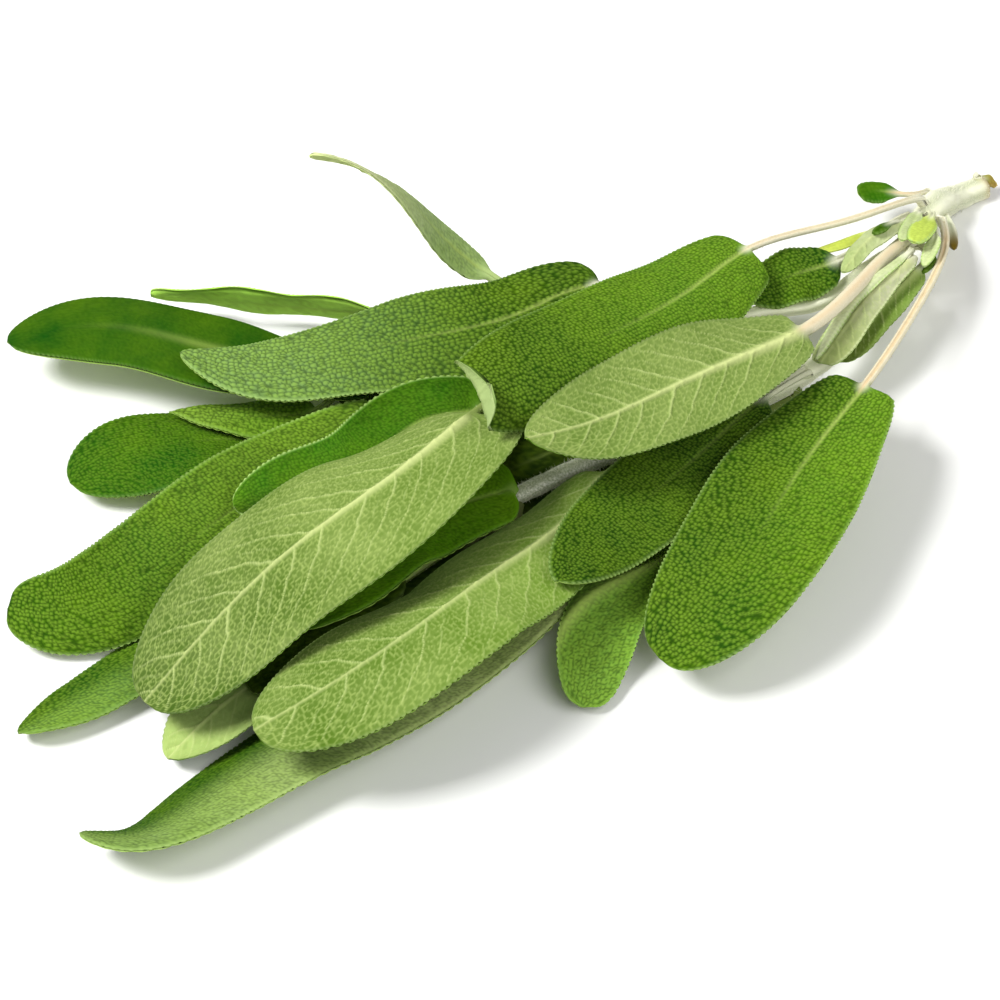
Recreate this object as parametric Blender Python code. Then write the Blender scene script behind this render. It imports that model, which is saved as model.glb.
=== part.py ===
"""A cut bunch of garden sage, lying as it fell: one branching stem and the leaves that grow on it.

Frame: +X runs from the leaf tips to the cut end, +Y across the bunch, +Z up. The bunch rests on
z = 0 and its footprint is centred on the origin. The tables are in millimetres, the meshes in metres.
"""
import math
from dataclasses import dataclass

import bpy
import numpy as np

MM = 0.001
BLADE_THICKNESS = 0.7        # a real blade is about half this; it is kept printable
JOIN_GAP = 0.3               # between a leaf stalk and the stem it grows from
STEM_RADIUS = 2.2            # at the cut end
SQUARENESS = 1.08            # a stem's corners stand out this much more than its faces
STALK_RADIUS = 0.9
RIB_DEPTH = 0.7              # the midrib stands this far out of the underside at the leaf's base
GROOVE_DEPTH = 0.12          # and is a shallow groove in the upper face
SCALLOP = 0.22               # how far the toothed margin swings in and out
BAND_LENGTH = 6.5            # distance between the rows of points along a blade
TIP_HALF = 0.5               # half the width of the blunt end of a tip
OPENING_SHARE = 0.12         # share of the blade over which the round stalk opens out flat
WAVES = 2.5                  # slow waves along the edges of a blade
END_CROWDING = 0.45          # how much closer the rows of points stand at both ends of a blade
STALK_STEP = 4.0             # distance between the rows of points along a stalk
SECTION = (-1.0, -0.52, -0.07, 0.0, 0.07, 0.52, 1.0)     # columns across a leaf, edge to edge
NODE_AT = 14.0               # the swollen node sits this far along the stem from the cut end
NODE_SWELL = 0.8
NODE_SPREAD = 5.0
FOOTPRINT_MIDDLE = (-3.5, 1.0)   # of the tables' own x and y, which becomes the origin

LEAF_GREEN = (0.075, 0.16, 0.03)
YOUNG_GREEN = (0.30, 0.42, 0.08)
PALE_GREEN = (0.27, 0.36, 0.14)
STEM_GREY = (0.42, 0.45, 0.27)


@dataclass
class Shoot:
    """One run of stem: its centre line and its radius at both ends."""
    route: tuple
    radii: tuple


@dataclass
class Leaf:
    """One leaf: where it grows, the line of its stalk and midrib, and how its blade is formed."""
    name: str
    shoot: str               # the shoot it grows from
    at: float                # how far along that shoot, 0 to 1
    stalk: tuple             # points of the stalk between the stem and the blade
    blade: tuple             # points of the midrib from the blade's base to its tip
    width: float
    shape: tuple = (0.42, 0.42)   # how fast the outline swells at the base and closes at the tip
    roll: float = 0.0        # degrees about the midrib; 180 turns the underside up
    twist: tuple = (0, 0)    # roll added towards the base and towards the tip
    curl: tuple = (-8, -8, -8, -8)   # edge angles: one side base, tip, then the other side
    wave: float = 0.4        # height of the slow waves along the edges
    colour: tuple = LEAF_GREEN
    stalk_radius: float = STALK_RADIUS


SHOOTS = {
    "front": Shoot(
        ((103, 0.5, 1.6), (98, 0.8, 1.7), (89, -1.2, 5), (76, -7, 6), (62, -14, 7), (46, -21, 8),
         (19, -20, 8), (0, -17, 8), (-17, -15, 7), (-30, -13, 5)), (STEM_RADIUS, 1.4)),
    "rear": Shoot(
        ((91, -1, 5.5), (74, -8, 8.5), (63, -10, 10), (52, -12, 11), (44, -10, 12), (37, -8, 13),
         (22, -4, 13), (7, -1, 12), (-7, 3, 11), (-21, 6, 10)), (1.5, 0.9)),
    "stub": Shoot(((89, -2, 4.5), (88.3, -7, 4.8), (85.8, -11.2, 6)), (1.2, 0.9)),
}

LEAVES = (
    Leaf("leaf_broad_top", "front", 0.13, ((84, -1, 10), (67, -2, 15)),
         ((46, -1, 20), (27, -6, 24), (7, -9.5, 28), (-10, -11, 31), (-23.5, -11, 32.3)),
         22, (0.28, 0.27), -13, (10, -14), (-28, -28, -23, -23), stalk_radius=0.65),
    Leaf("leaf_pale_upper", "rear", 0.14, ((69, -11, 13), (57, -16, 16)),
         ((39, -22, 20), (25, -23, 23), (9, -23, 25), (-7, -23, 27), (-19, -22, 30)),
         19, (0.53, 0.54), 165, (9, 5), (-13, -13, -8, -8), stalk_radius=1.2),
    Leaf("leaf_pale_large", "rear", 0.80, ((-8, -3, 18),),
         ((-19, -7, 22), (-39, -13, 25), (-58, -14, 22), (-75, -15, 15), (-89, -17, 8)),
         33, (0.30, 0.38), 192, (8, -4), (32, 2, 0, 0)),
    Leaf("leaf_right_broad", "front", 0.14, ((81.8, -11.5, 9.8), (64, -24, 13)),
         ((44, -34, 15), (27, -41, 16), (10, -49, 16), (-6, -55, 13), (-17, -56, 7.5)),
         25, (0.36, 0.38), -2, (8, 6), (4, 4, 4, 4), stalk_radius=0.75),
    Leaf("leaf_pale_folded", "front", 0.66, (),
         ((-3, -23.5, 12), (-16, -29.5, 14.5), (-31, -33, 17), (-49, -37, 20), (-66, -38, 19),
          (-80, -36, 15)),
         26, (0.52, 0.43), 197, (-24, -19), (50, 21, 16, 13)),
    Leaf("leaf_front_curled", "front", 0.70, (),
         ((-18, -33, 4.6), (-36, -35, 3.7), (-54, -35, 4.4), (-73, -35, 5), (-91, -36, 5),
          (-103, -36, 6), (-109, -31, 6)),
         19, (0.47, 0.34), 14, (9, 24), (-12, -12, -16, -16)),
    Leaf("leaf_long_left", "rear", 1.0, (),
         ((-26, 9, 9), (-37, 11, 7), (-57, 9, 8), (-78, 6, 7), (-90, 8, 6), (-97, 14, 6)),
         19, (0.31, 0.32), -24, (-4, -11), (-1, -1, 7, 7)),
    Leaf("leaf_wavy_mid", "rear", 0.86, (),
         ((-13, -1.3, 14.5), (-23, 2, 15), (-36, 0.5, 13.7), (-47, 3.2, 13), (-58, 6.5, 12)),
         16, (0.25, 0.41), -4, (0, 0), (0, 0, 60, 30)),
    Leaf("leaf_pebbled_long", "rear", 0.61, (),
         ((18, 8, 18), (3, 10, 19), (-12, 16, 17), (-27, 24, 14), (-40, 31, 13), (-48, 40, 14)),
         22, (0.29, 0.53), -1, (3, 13), (-6, -6, -6, -6)),
    Leaf("leaf_far_left", "rear", 0.90, (),
         ((-22, 18, 9), (-32, 30, 9), (-43, 43, 10), (-55, 57, 10), (-70, 63, 10)),
         21, (0.47, 0.47), 12, (5, -8), (-4, -4, -8, -8)),
    Leaf("leaf_left_blunt", "rear", 0.92, ((-19, 10, 5.5),),
         ((-28, 14, 3.6), (-39, 21, 3.1), (-52, 28, 4.5), (-64, 32, 5), (-75, 33, 4)),
         23, (0.42, 0.48), 20, (-23, -32), (-1, -1, -8, -8)),
    Leaf("leaf_left_pointed", "front", 1.0, ((-42, -13, 5),),
         ((-56, -10, 2.3), (-74, -6, 2.0), (-92, -6, 2.0), (-107, -7, 3)),
         13, (0.39, 0.43), 10, (-1, 12), (-6, -6, -10, -10)),
    Leaf("leaf_pale_tucked", "front", 0.95, (),
         ((-49, -18, 4), (-66, -21, 5), (-80, -22.5, 4), (-90, -25, 2.5)),
         17, (0.44, 0.50), 190, (0, 0), (-6, -6, -10, -10)),
    Leaf("leaf_inner_round", "front", 0.92, (),
         ((-18, -16, 10), (-29, -12, 9), (-44, -14, 10), (-62, -21, 11)),
         19, (0.29, 0.46), 6, (-5, 15), (6, 6, 4, 4)),
    Leaf("leaf_centre_dark", "front", 0.49, (),
         ((29, -25, 12.5), (14, -29, 13.5), (-1, -33, 15), (-15, -37, 17), (-27, -42, 20)),
         17, (0.54, 0.56), -12, (8, 2), (-9, -9, -5, -5)),
    Leaf("leaf_front_small", "front", 0.58, ((12, -34, 9),),
         ((0, -39, 8), (-17, -43, 6), (-30, -54, 2)),
         13, (0.55, 0.38), -1, (17, -31), (10, 10, 11, 11)),
    Leaf("leaf_slim_back", "rear", 0.80, ((-5, 20, 9),),
         ((-11, 31, 8), (-22, 43, 7), (-33, 53, 7), (-42, 62, 6)),
         9, (0.41, 0.44), -103, (-3, -8), (-18, -18, 1, 1)),
    Leaf("leaf_node_dark", "front", 0.17, ((78, -4, 10.5),),
         ((59, -8, 14), (50, -7, 15), (39, -7, 15)),
         11, (0.41, 0.53), -11, (-5, -2), (-7, -7, -3, -3)),
    Leaf("leaf_tiny_top", "front", 0.08, (),
         ((84, 3, 8), (81, 6, 8), (77, 7, 9)),
         5, (0.43, 0.37), -6, (-1, -8), (-9, -9, -6, -6), 0, stalk_radius=0.5),
    Leaf("leaf_curled_sprout", "rear", 0.72, ((10, 10, 13),),
         ((6, 24, 14), (0, 30, 22), (-5, 34, 31), (-12, 38, 39), (-20, 39, 45)),
         10, (0.38, 0.47), 22, (-40, 14), (-16, -16, -3, -3), 0),
    Leaf("leaf_fold_pale", "front", 0.25, (),
         ((71, -14.8, 13.2), (62, -17, 13.8), (52, -20.3, 13.4), (42, -24.2, 12)),
         8.5, (0.60, 0.26), 195, (4, -6), (30, 30, 22, 22), 0.2, PALE_GREEN, 0.7),
    Leaf("leaf_fold_green", "front", 0.20, ((76.5, -12.7, 9.7),),
         ((72.5, -15.5, 10.9), (62.5, -18.9, 11.4), (54, -22, 11.2), (46, -25, 10.5)),
         7, (0.40, 0.40), 190, (-6, -3), (14, 10, 14, 10), 0.2, stalk_radius=0.7),
    Leaf("leaf_bud_bright", "front", 0.15, (),
         ((81, -8, 12.5), (76, -11, 15), (71.5, -13.5, 16.2)),
         5.5, (0.43, 0.38), -4, (0, 0), (-9, -9, -7, -7), 0, YOUNG_GREEN, 0.7),
    Leaf("leaf_bud_pale", "rear", 0.10, (),
         ((76, -7, 13.2), (68, -8, 15.3), (61.5, -10, 16.1), (56.5, -12.3, 15.9)),
         5, (0.36, 0.40), 181, (0, 0), (20, 20, 20, 20), 0.2, PALE_GREEN, 0.7),
    Leaf("leaf_under_back", "rear", 0.66, (),
         ((5, -1, 8), (-6, 9, 4.5), (-16, 19, 2.2), (-24, 29, 1.3)), 17),
    Leaf("leaf_under_mid", "front", 0.60, (),
         ((12, -12, 5), (-3, -9, 4.6), (-18, -6.5, 3.5), (-34, -4, 2.5)), 19),
    Leaf("leaf_under_front", "front", 0.51, (),
         ((25, -24, 6), (12, -25, 4), (-3, -27, 3), (-14, -28, 2)), 16, roll=180),
)


def unit(vectors):
    return vectors / np.linalg.norm(vectors, axis=-1, keepdims=True)


def lengths_along(path):
    steps = np.linalg.norm(np.diff(path, axis=0), axis=1)
    return np.concatenate([[0.0], np.cumsum(steps)])


def smooth_line(points, count=400):
    """A natural cubic spline through the points, sampled evenly along its length."""
    points = np.asarray(points, float)
    knots = lengths_along(points)
    if len(points) == 2:
        share = np.linspace(0, 1, count)[:, None]
        return points[0] * (1 - share) + points[1] * share
    gaps = np.diff(knots)
    matrix = np.eye(len(points))
    right = np.zeros_like(points)
    for i in range(1, len(points) - 1):
        matrix[i, i - 1:i + 2] = gaps[i - 1], 2 * (gaps[i - 1] + gaps[i]), gaps[i]
        slope_after = (points[i + 1] - points[i]) / gaps[i]
        slope_before = (points[i] - points[i - 1]) / gaps[i - 1]
        right[i] = 6 * (slope_after - slope_before)
    bends = np.linalg.solve(matrix, right)
    at = np.linspace(0, knots[-1], 4 * count)
    i = np.clip(np.searchsorted(knots, at) - 1, 0, len(gaps) - 1)
    before = ((knots[i + 1] - at) / gaps[i])[:, None]
    after = 1 - before
    square = (gaps[i] ** 2 / 6)[:, None]
    fine = before * points[i] + after * points[i + 1]
    fine += ((before ** 3 - before) * bends[i] + (after ** 3 - after) * bends[i + 1]) * square
    return resample(fine, np.linspace(0, lengths_along(fine)[-1], count))


def resample(path, at):
    """The points of a path at the given distances along it."""
    along = lengths_along(path)
    return np.stack([np.interp(at, along, path[:, k]) for k in range(3)], axis=1)


def carried_frames(path, start, roll):
    """Tangent, face normal and sideways direction, carried both ways from the start without twist."""
    tangents = unit(np.gradient(path, axis=0))
    normals = np.zeros_like(path)
    up = np.array([0.0, 0.0, 1.0])
    normals[start] = unit(up - tangents[start] * tangents[start][2])
    for step in (1, -1):
        i = start + step
        while 0 <= i < len(path):
            previous = normals[i - step]
            normals[i] = unit(previous - tangents[i] * (previous @ tangents[i]))
            i += step
    sideways = np.cross(tangents, normals)
    angle = np.radians(roll)[:, None]
    faces = normals * np.cos(angle) + sideways * np.sin(angle)
    return tangents, faces, np.cross(tangents, faces)


def shoot_line(shoot):
    return smooth_line(shoot.route)


def shoot_radius(name, distances, total):
    """A shoot tapers along its length, and the main stem swells at its node."""
    radii = np.interp(distances / total, (0, 1), SHOOTS[name].radii)
    if name == "front":
        radii = radii + NODE_SWELL * np.exp(-((distances - NODE_AT) / NODE_SPREAD) ** 2)
    return radii


def leaf_line(leaf):
    """The whole centre line of a leaf, and how much of it is stalk."""
    axis = shoot_line(SHOOTS[leaf.shoot])
    total = lengths_along(axis)[-1]
    i = round(leaf.at * (len(axis) - 1))
    tangent = unit(axis[min(i + 1, len(axis) - 1)] - axis[max(i - 1, 0)])
    towards = np.array((leaf.stalk + leaf.blade)[0], float) - axis[i]
    if leaf.at < 1:
        sideways = unit(towards - tangent * (towards @ tangent))
        radius = SQUARENESS * shoot_radius(leaf.shoot, leaf.at * total, total)
        root = axis[i] + sideways * (radius + JOIN_GAP + leaf.stalk_radius)
    else:
        root = axis[i] + unit(towards) * (JOIN_GAP + leaf.stalk_radius)
    line = smooth_line((tuple(root),) + leaf.stalk + leaf.blade)
    base = np.argmin(np.linalg.norm(line - np.array(leaf.blade[0], float), axis=1))
    return line, lengths_along(line)[base]


def outline(leaf, along):
    """Half the blade's width, at shares of its length from 0 to 1."""
    swell, close = leaf.shape
    widest = swell / (swell + close)
    profile = (along / widest) ** swell * ((1 - along) / (1 - widest)) ** close
    return leaf.width / 2 * profile


def leaf_rows(leaf):
    """Where the rows of points go: distances along the line, and which rows are whole ones."""
    line, stalk = leaf_line(leaf)
    total = lengths_along(line)[-1]
    stalk_rows = max(2, round(stalk / STALK_STEP))
    bands = max(4, round((total - stalk) / BAND_LENGTH))
    share = np.linspace(0, 1, 3 * bands + 1)
    crowded = (1 - np.cos(math.pi * share)) / 2
    share = (1 - END_CROWDING) * share + END_CROWDING * crowded
    on_blade = stalk + (total - stalk) * share[1:]
    distances = np.concatenate([np.linspace(0, stalk, stalk_rows + 1), on_blade])
    whole = list(range(stalk_rows + 1)) + [stalk_rows + 3 * (k + 1) for k in range(bands)]
    return line, stalk, distances, whole


def leaf_points(leaf):
    """The upper and lower face of a leaf as grids of points, one row for each distance.

    Where the blade would reach below the surface it is pressed up flat against it.
    """
    line, stalk, distances, whole = leaf_rows(leaf)
    path = resample(line, distances)
    along = np.clip((distances - stalk) / (distances[-1] - stalk), 0, 1)
    half = outline(leaf, along)
    half[whole[1]:] += SCALLOP * np.where(np.arange(len(half) - whole[1]) % 2, 1, -1)
    half = np.maximum(half, np.where(along < 0.5, leaf.stalk_radius, TIP_HALF))
    roll = leaf.roll + np.interp(along, (0, 0.5, 1), (leaf.twist[0], 0, leaf.twist[1]))
    middle = int(np.argmin(abs(along - 0.5)))
    _, faces, sideways = carried_frames(path, middle, roll)

    across = np.array(SECTION)[None, :]
    left = np.radians(np.interp(along, (0, 1), leaf.curl[:2]))[:, None]
    right = np.radians(np.interp(along, (0, 1), leaf.curl[2:]))[:, None]
    bend = np.where(across < 0, left, right)
    bend = np.where(abs(bend) < 1e-3, 1e-3, bend)
    out = np.sin(bend * abs(across)) / bend * half[:, None] * np.sign(across)
    rise = (1 - np.cos(bend * abs(across))) / bend * half[:, None]
    blade_share = np.clip(along / OPENING_SHARE, 0, 1)[:, None]
    waves = np.sin(2 * math.pi * (WAVES * along[:, None] + 0.2 * across))
    rise += leaf.wave * across ** 2 * waves * blade_share

    round_angle = np.radians(np.linspace(162, 18, len(SECTION)))[None, :]
    stalk_out = leaf.stalk_radius * np.cos(round_angle)
    stalk_top = leaf.stalk_radius * np.sin(round_angle)
    ridge = np.array([0, 0, 0.3, 1, 0.3, 0, 0])[None, :] * (1 - along[:, None]) * blade_share
    top = rise + BLADE_THICKNESS / 2 - GROOVE_DEPTH * ridge
    bottom = rise - BLADE_THICKNESS / 2 - RIB_DEPTH * ridge
    out = out * blade_share + stalk_out * (1 - blade_share)
    top = top * blade_share + stalk_top * (1 - blade_share)
    bottom = bottom * blade_share - stalk_top * (1 - blade_share)

    def place(height):
        return path[:, None] + sideways[:, None] * out[..., None] + faces[:, None] * height[..., None]
    top, bottom = place(top), place(bottom)
    pressed = np.maximum(-bottom[..., 2], 0)
    top[..., 2] += pressed
    bottom[..., 2] += pressed
    return top, bottom, whole


def leaf_faces(whole, rows, columns):
    """Triangles over both faces, the edge walls and the ends. Both faces are split alike."""
    def top(row, column):
        return row * columns + column

    def bottom(row, column):
        return (rows + row) * columns + column

    faces = []

    def both(a, b, c):
        faces.append((top(*a), top(*c), top(*b)))
        faces.append((bottom(*a), bottom(*b), bottom(*c)))

    last = columns - 1
    for low, high in zip(whole, whole[1:]):
        for column in range(1, last - 1):
            both((low, column), (high, column), (high, column + 1))
            both((low, column), (high, column + 1), (low, column + 1))
        turn = low + (high - low + 1) // 2
        for row in range(low, high):
            inner = low if row < turn else high
            both((row, 0), (row + 1, 0), (inner, 1))
            both((row, last), (inner, last - 1), (row + 1, last))
        both((turn, 0), (high, 1), (low, 1))
        both((turn, last), (low, last - 1), (high, last - 1))
        for row in range(low, high):
            faces.append((top(row, 0), top(row + 1, 0), bottom(row + 1, 0), bottom(row, 0)))
            faces.append((top(row, last), bottom(row, last), bottom(row + 1, last), top(row + 1, last)))
    for row, flip in ((whole[0], True), (whole[-1], False)):
        for column in range(last):
            cap = (top(row, column), top(row, column + 1), bottom(row, column + 1), bottom(row, column))
            faces.append(cap[::-1] if flip else cap)
    return faces


def square_section(radius, sides=8):
    """Sage stems are square with blunt corners."""
    angles = (np.arange(sides) + 1) * 2 * math.pi / sides
    reach = radius * (1 + (SQUARENESS - 1) * np.cos(4 * (angles - math.pi / 4)))
    return np.stack([reach * np.cos(angles), reach * np.sin(angles)], axis=1)


def swept_solid(name, path, radii, sides=8):
    """A closed tube along a path."""
    _, faces_up, sideways = carried_frames(path, len(path) // 2, np.zeros(len(path)))
    rings = []
    for point, radius, up, side in zip(path, radii, faces_up, sideways):
        section = square_section(radius, sides)
        rings.append(point + side * section[:, :1] + up * section[:, 1:])
    points = np.concatenate(rings)
    faces = [tuple(range(sides)), tuple(range(len(points) - 1, len(points) - sides - 1, -1))]
    for row in range(len(path) - 1):
        for k in range(sides):
            here, after = row * sides + k, row * sides + (k + 1) % sides
            faces.append((here, here + sides, after + sides, after))
    return new_object(name, points, faces)


def new_object(name, points, faces):
    """A mesh object from points in millimetres, moved so that the footprint's middle is the origin."""
    centred = np.asarray(points) - np.array([*FOOTPRINT_MIDDLE, 0])
    mesh = bpy.data.meshes.new(name)
    mesh.from_pydata([tuple(p) for p in centred * MM], [], faces)
    mesh.update()
    item = bpy.data.objects.new(name, mesh)
    bpy.context.scene.collection.objects.link(item)
    return item


def finish(item, colour, roughness):
    """One Principled material for the object, and smooth shading with crisp edges."""
    material = bpy.data.materials.new(item.name)
    material.use_nodes = True
    shader = material.node_tree.nodes["Principled BSDF"]
    shader.inputs["Base Color"].default_value = (*colour, 1)
    shader.inputs["Roughness"].default_value = roughness
    item.data.materials.clear()
    item.data.materials.append(material)
    item.data.shade_smooth()
    item.data.set_sharp_from_angle(angle=math.radians(40))


def make_leaf(leaf):
    top, bottom, whole = leaf_points(leaf)
    rows, columns, _ = top.shape
    points = np.concatenate([top.reshape(-1, 3), bottom.reshape(-1, 3)])
    faces = leaf_faces(whole, rows, columns)
    used = sorted({index for face in faces for index in face})
    place = {index: k for k, index in enumerate(used)}
    item = new_object(leaf.name, points[used], [tuple(place[i] for i in face) for face in faces])
    finish(item, leaf.colour, 0.6)
    return item


def shoot_solid(name):
    line = shoot_line(SHOOTS[name])
    total = lengths_along(line)[-1]
    distances = np.linspace(0, total, max(3, round(total / STALK_STEP)))
    return swept_solid(name, resample(line, distances), shoot_radius(name, distances, total))


def make_stem():
    """All the shoots joined as the one plant that they are, pressed flat where they touch down."""
    parts = [shoot_solid(name) for name in SHOOTS]
    stem = parts.pop(0)
    stem.name = "stem"
    group = bpy.data.collections.new("joined_shoots")
    for part in parts:
        group.objects.link(part)
    union = stem.modifiers.new("join", "BOOLEAN")
    union.operation = "UNION"
    union.operand_type = "COLLECTION"
    union.collection = group
    union.solver = "EXACT"
    bpy.context.view_layer.update()
    joined = bpy.data.meshes.new_from_object(stem.evaluated_get(bpy.context.evaluated_depsgraph_get()))
    stem.modifiers.remove(union)
    stem.data = joined
    for part in parts:
        bpy.data.objects.remove(part)
    bpy.data.collections.remove(group)
    for vertex in joined.vertices:
        vertex.co.z = max(vertex.co.z, 0)
    finish(stem, STEM_GREY, 0.8)


def main():
    for item in list(bpy.data.objects):
        bpy.data.objects.remove(item)
    make_stem()
    for leaf in LEAVES:
        make_leaf(leaf)


main()
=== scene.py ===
# %% [markdown]
# # A cut bunch of garden sage
# A short branching stem with long-stalked, velvety leaves, lying as it fell. Every shape here is
# made by a few functions from short tables of points in millimetres: first the lines that stems and
# leaves follow, then one leaf after another, then their materials, and last the floor, the light and
# the camera.

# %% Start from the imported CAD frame
import math
from dataclasses import dataclass

import bpy
import numpy as np
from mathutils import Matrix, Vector


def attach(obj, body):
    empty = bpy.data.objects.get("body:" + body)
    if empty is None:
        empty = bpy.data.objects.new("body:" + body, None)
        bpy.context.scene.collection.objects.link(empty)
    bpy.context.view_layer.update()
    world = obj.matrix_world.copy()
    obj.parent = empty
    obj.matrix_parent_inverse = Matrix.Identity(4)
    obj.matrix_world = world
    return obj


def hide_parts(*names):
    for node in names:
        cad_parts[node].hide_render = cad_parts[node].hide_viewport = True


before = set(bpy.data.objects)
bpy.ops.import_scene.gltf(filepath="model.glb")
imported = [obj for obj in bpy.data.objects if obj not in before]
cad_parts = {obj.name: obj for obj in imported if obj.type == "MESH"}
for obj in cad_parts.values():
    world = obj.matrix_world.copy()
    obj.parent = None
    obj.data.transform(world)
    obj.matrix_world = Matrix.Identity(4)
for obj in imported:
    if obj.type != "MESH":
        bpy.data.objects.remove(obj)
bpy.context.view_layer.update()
MM = 0.001
FOOTPRINT_MIDDLE = (-3.5, 1.0)   # of the tables' own x and y, which becomes the origin

# %% [markdown]
# ## The plan of the stems
# Sage branches from a short woody base. A stem could be modelled by hand from a cylinder, but a line
# of a few points and a radius at both ends say the same, and are easy to read and to change. So the
# plan is a table: the main shoot in front, the one behind it, and the stub of a dead side shoot.

# %% The plan of the stems
@dataclass
class Shoot:
    """One run of stem: its centre line and its radius at both ends."""
    route: tuple
    radii: tuple


STEM_RADIUS = 2.2            # at the cut end
SHOOTS = {
    "front": Shoot(
        ((103, 0.5, 1.6), (98, 0.8, 1.7), (89, -1.2, 5), (76, -7, 6), (62, -14, 7), (46, -21, 8),
         (19, -20, 8), (0, -17, 8), (-17, -15, 7), (-30, -13, 5)), (STEM_RADIUS, 1.4)),
    "rear": Shoot(
        ((91, -1, 5.5), (74, -8, 8.5), (63, -10, 10), (52, -12, 11), (44, -10, 12), (37, -8, 13),
         (22, -4, 13), (7, -1, 12), (-7, 3, 11), (-21, 6, 10)), (1.5, 0.9)),
    "stub": Shoot(((89, -2, 4.5), (87.8, -6.5, 5), (84.6, -11.6, 5)), (1.2, 0.9)),
}
print("runs of stem:", ", ".join(SHOOTS))

# %% [markdown]
# ## The plan of the leaves
# Each leaf is a stalk that opens into an oblong blade. A line through it (its stalk and midrib) and
# a width are enough to place it, so this is a table too: where a leaf grows, the points its midrib
# passes, how wide it is, and how it rolls and curls. Modelling 27 leaves one by one with the mouse
# would give no more likeness, and none of the numbers to correct.

# %% The plan of the leaves
STALK_RADIUS = 0.9


@dataclass
class Leaf:
    """One leaf: where it grows, the line of its stalk and midrib, and how its blade is formed."""
    name: str
    shoot: str               # the shoot it grows from
    at: float                # how far along that shoot, 0 to 1
    stalk: tuple             # points of the stalk between the stem and the blade
    blade: tuple             # points of the midrib from the blade's base to its tip
    width: float
    shape: tuple = (0.42, 0.42)   # how fast the outline swells at the base and closes at the tip
    roll: float = 0.0        # degrees about the midrib; 180 turns the underside up
    twist: tuple = (0, 0)    # roll added towards the base and towards the tip
    curl: tuple = (-8, -8, -8, -8)   # edge angles: one side base, tip, then the other side
    wave: float = 0.4        # height of the slow waves along the edges
    stalk_radius: float = STALK_RADIUS


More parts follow.
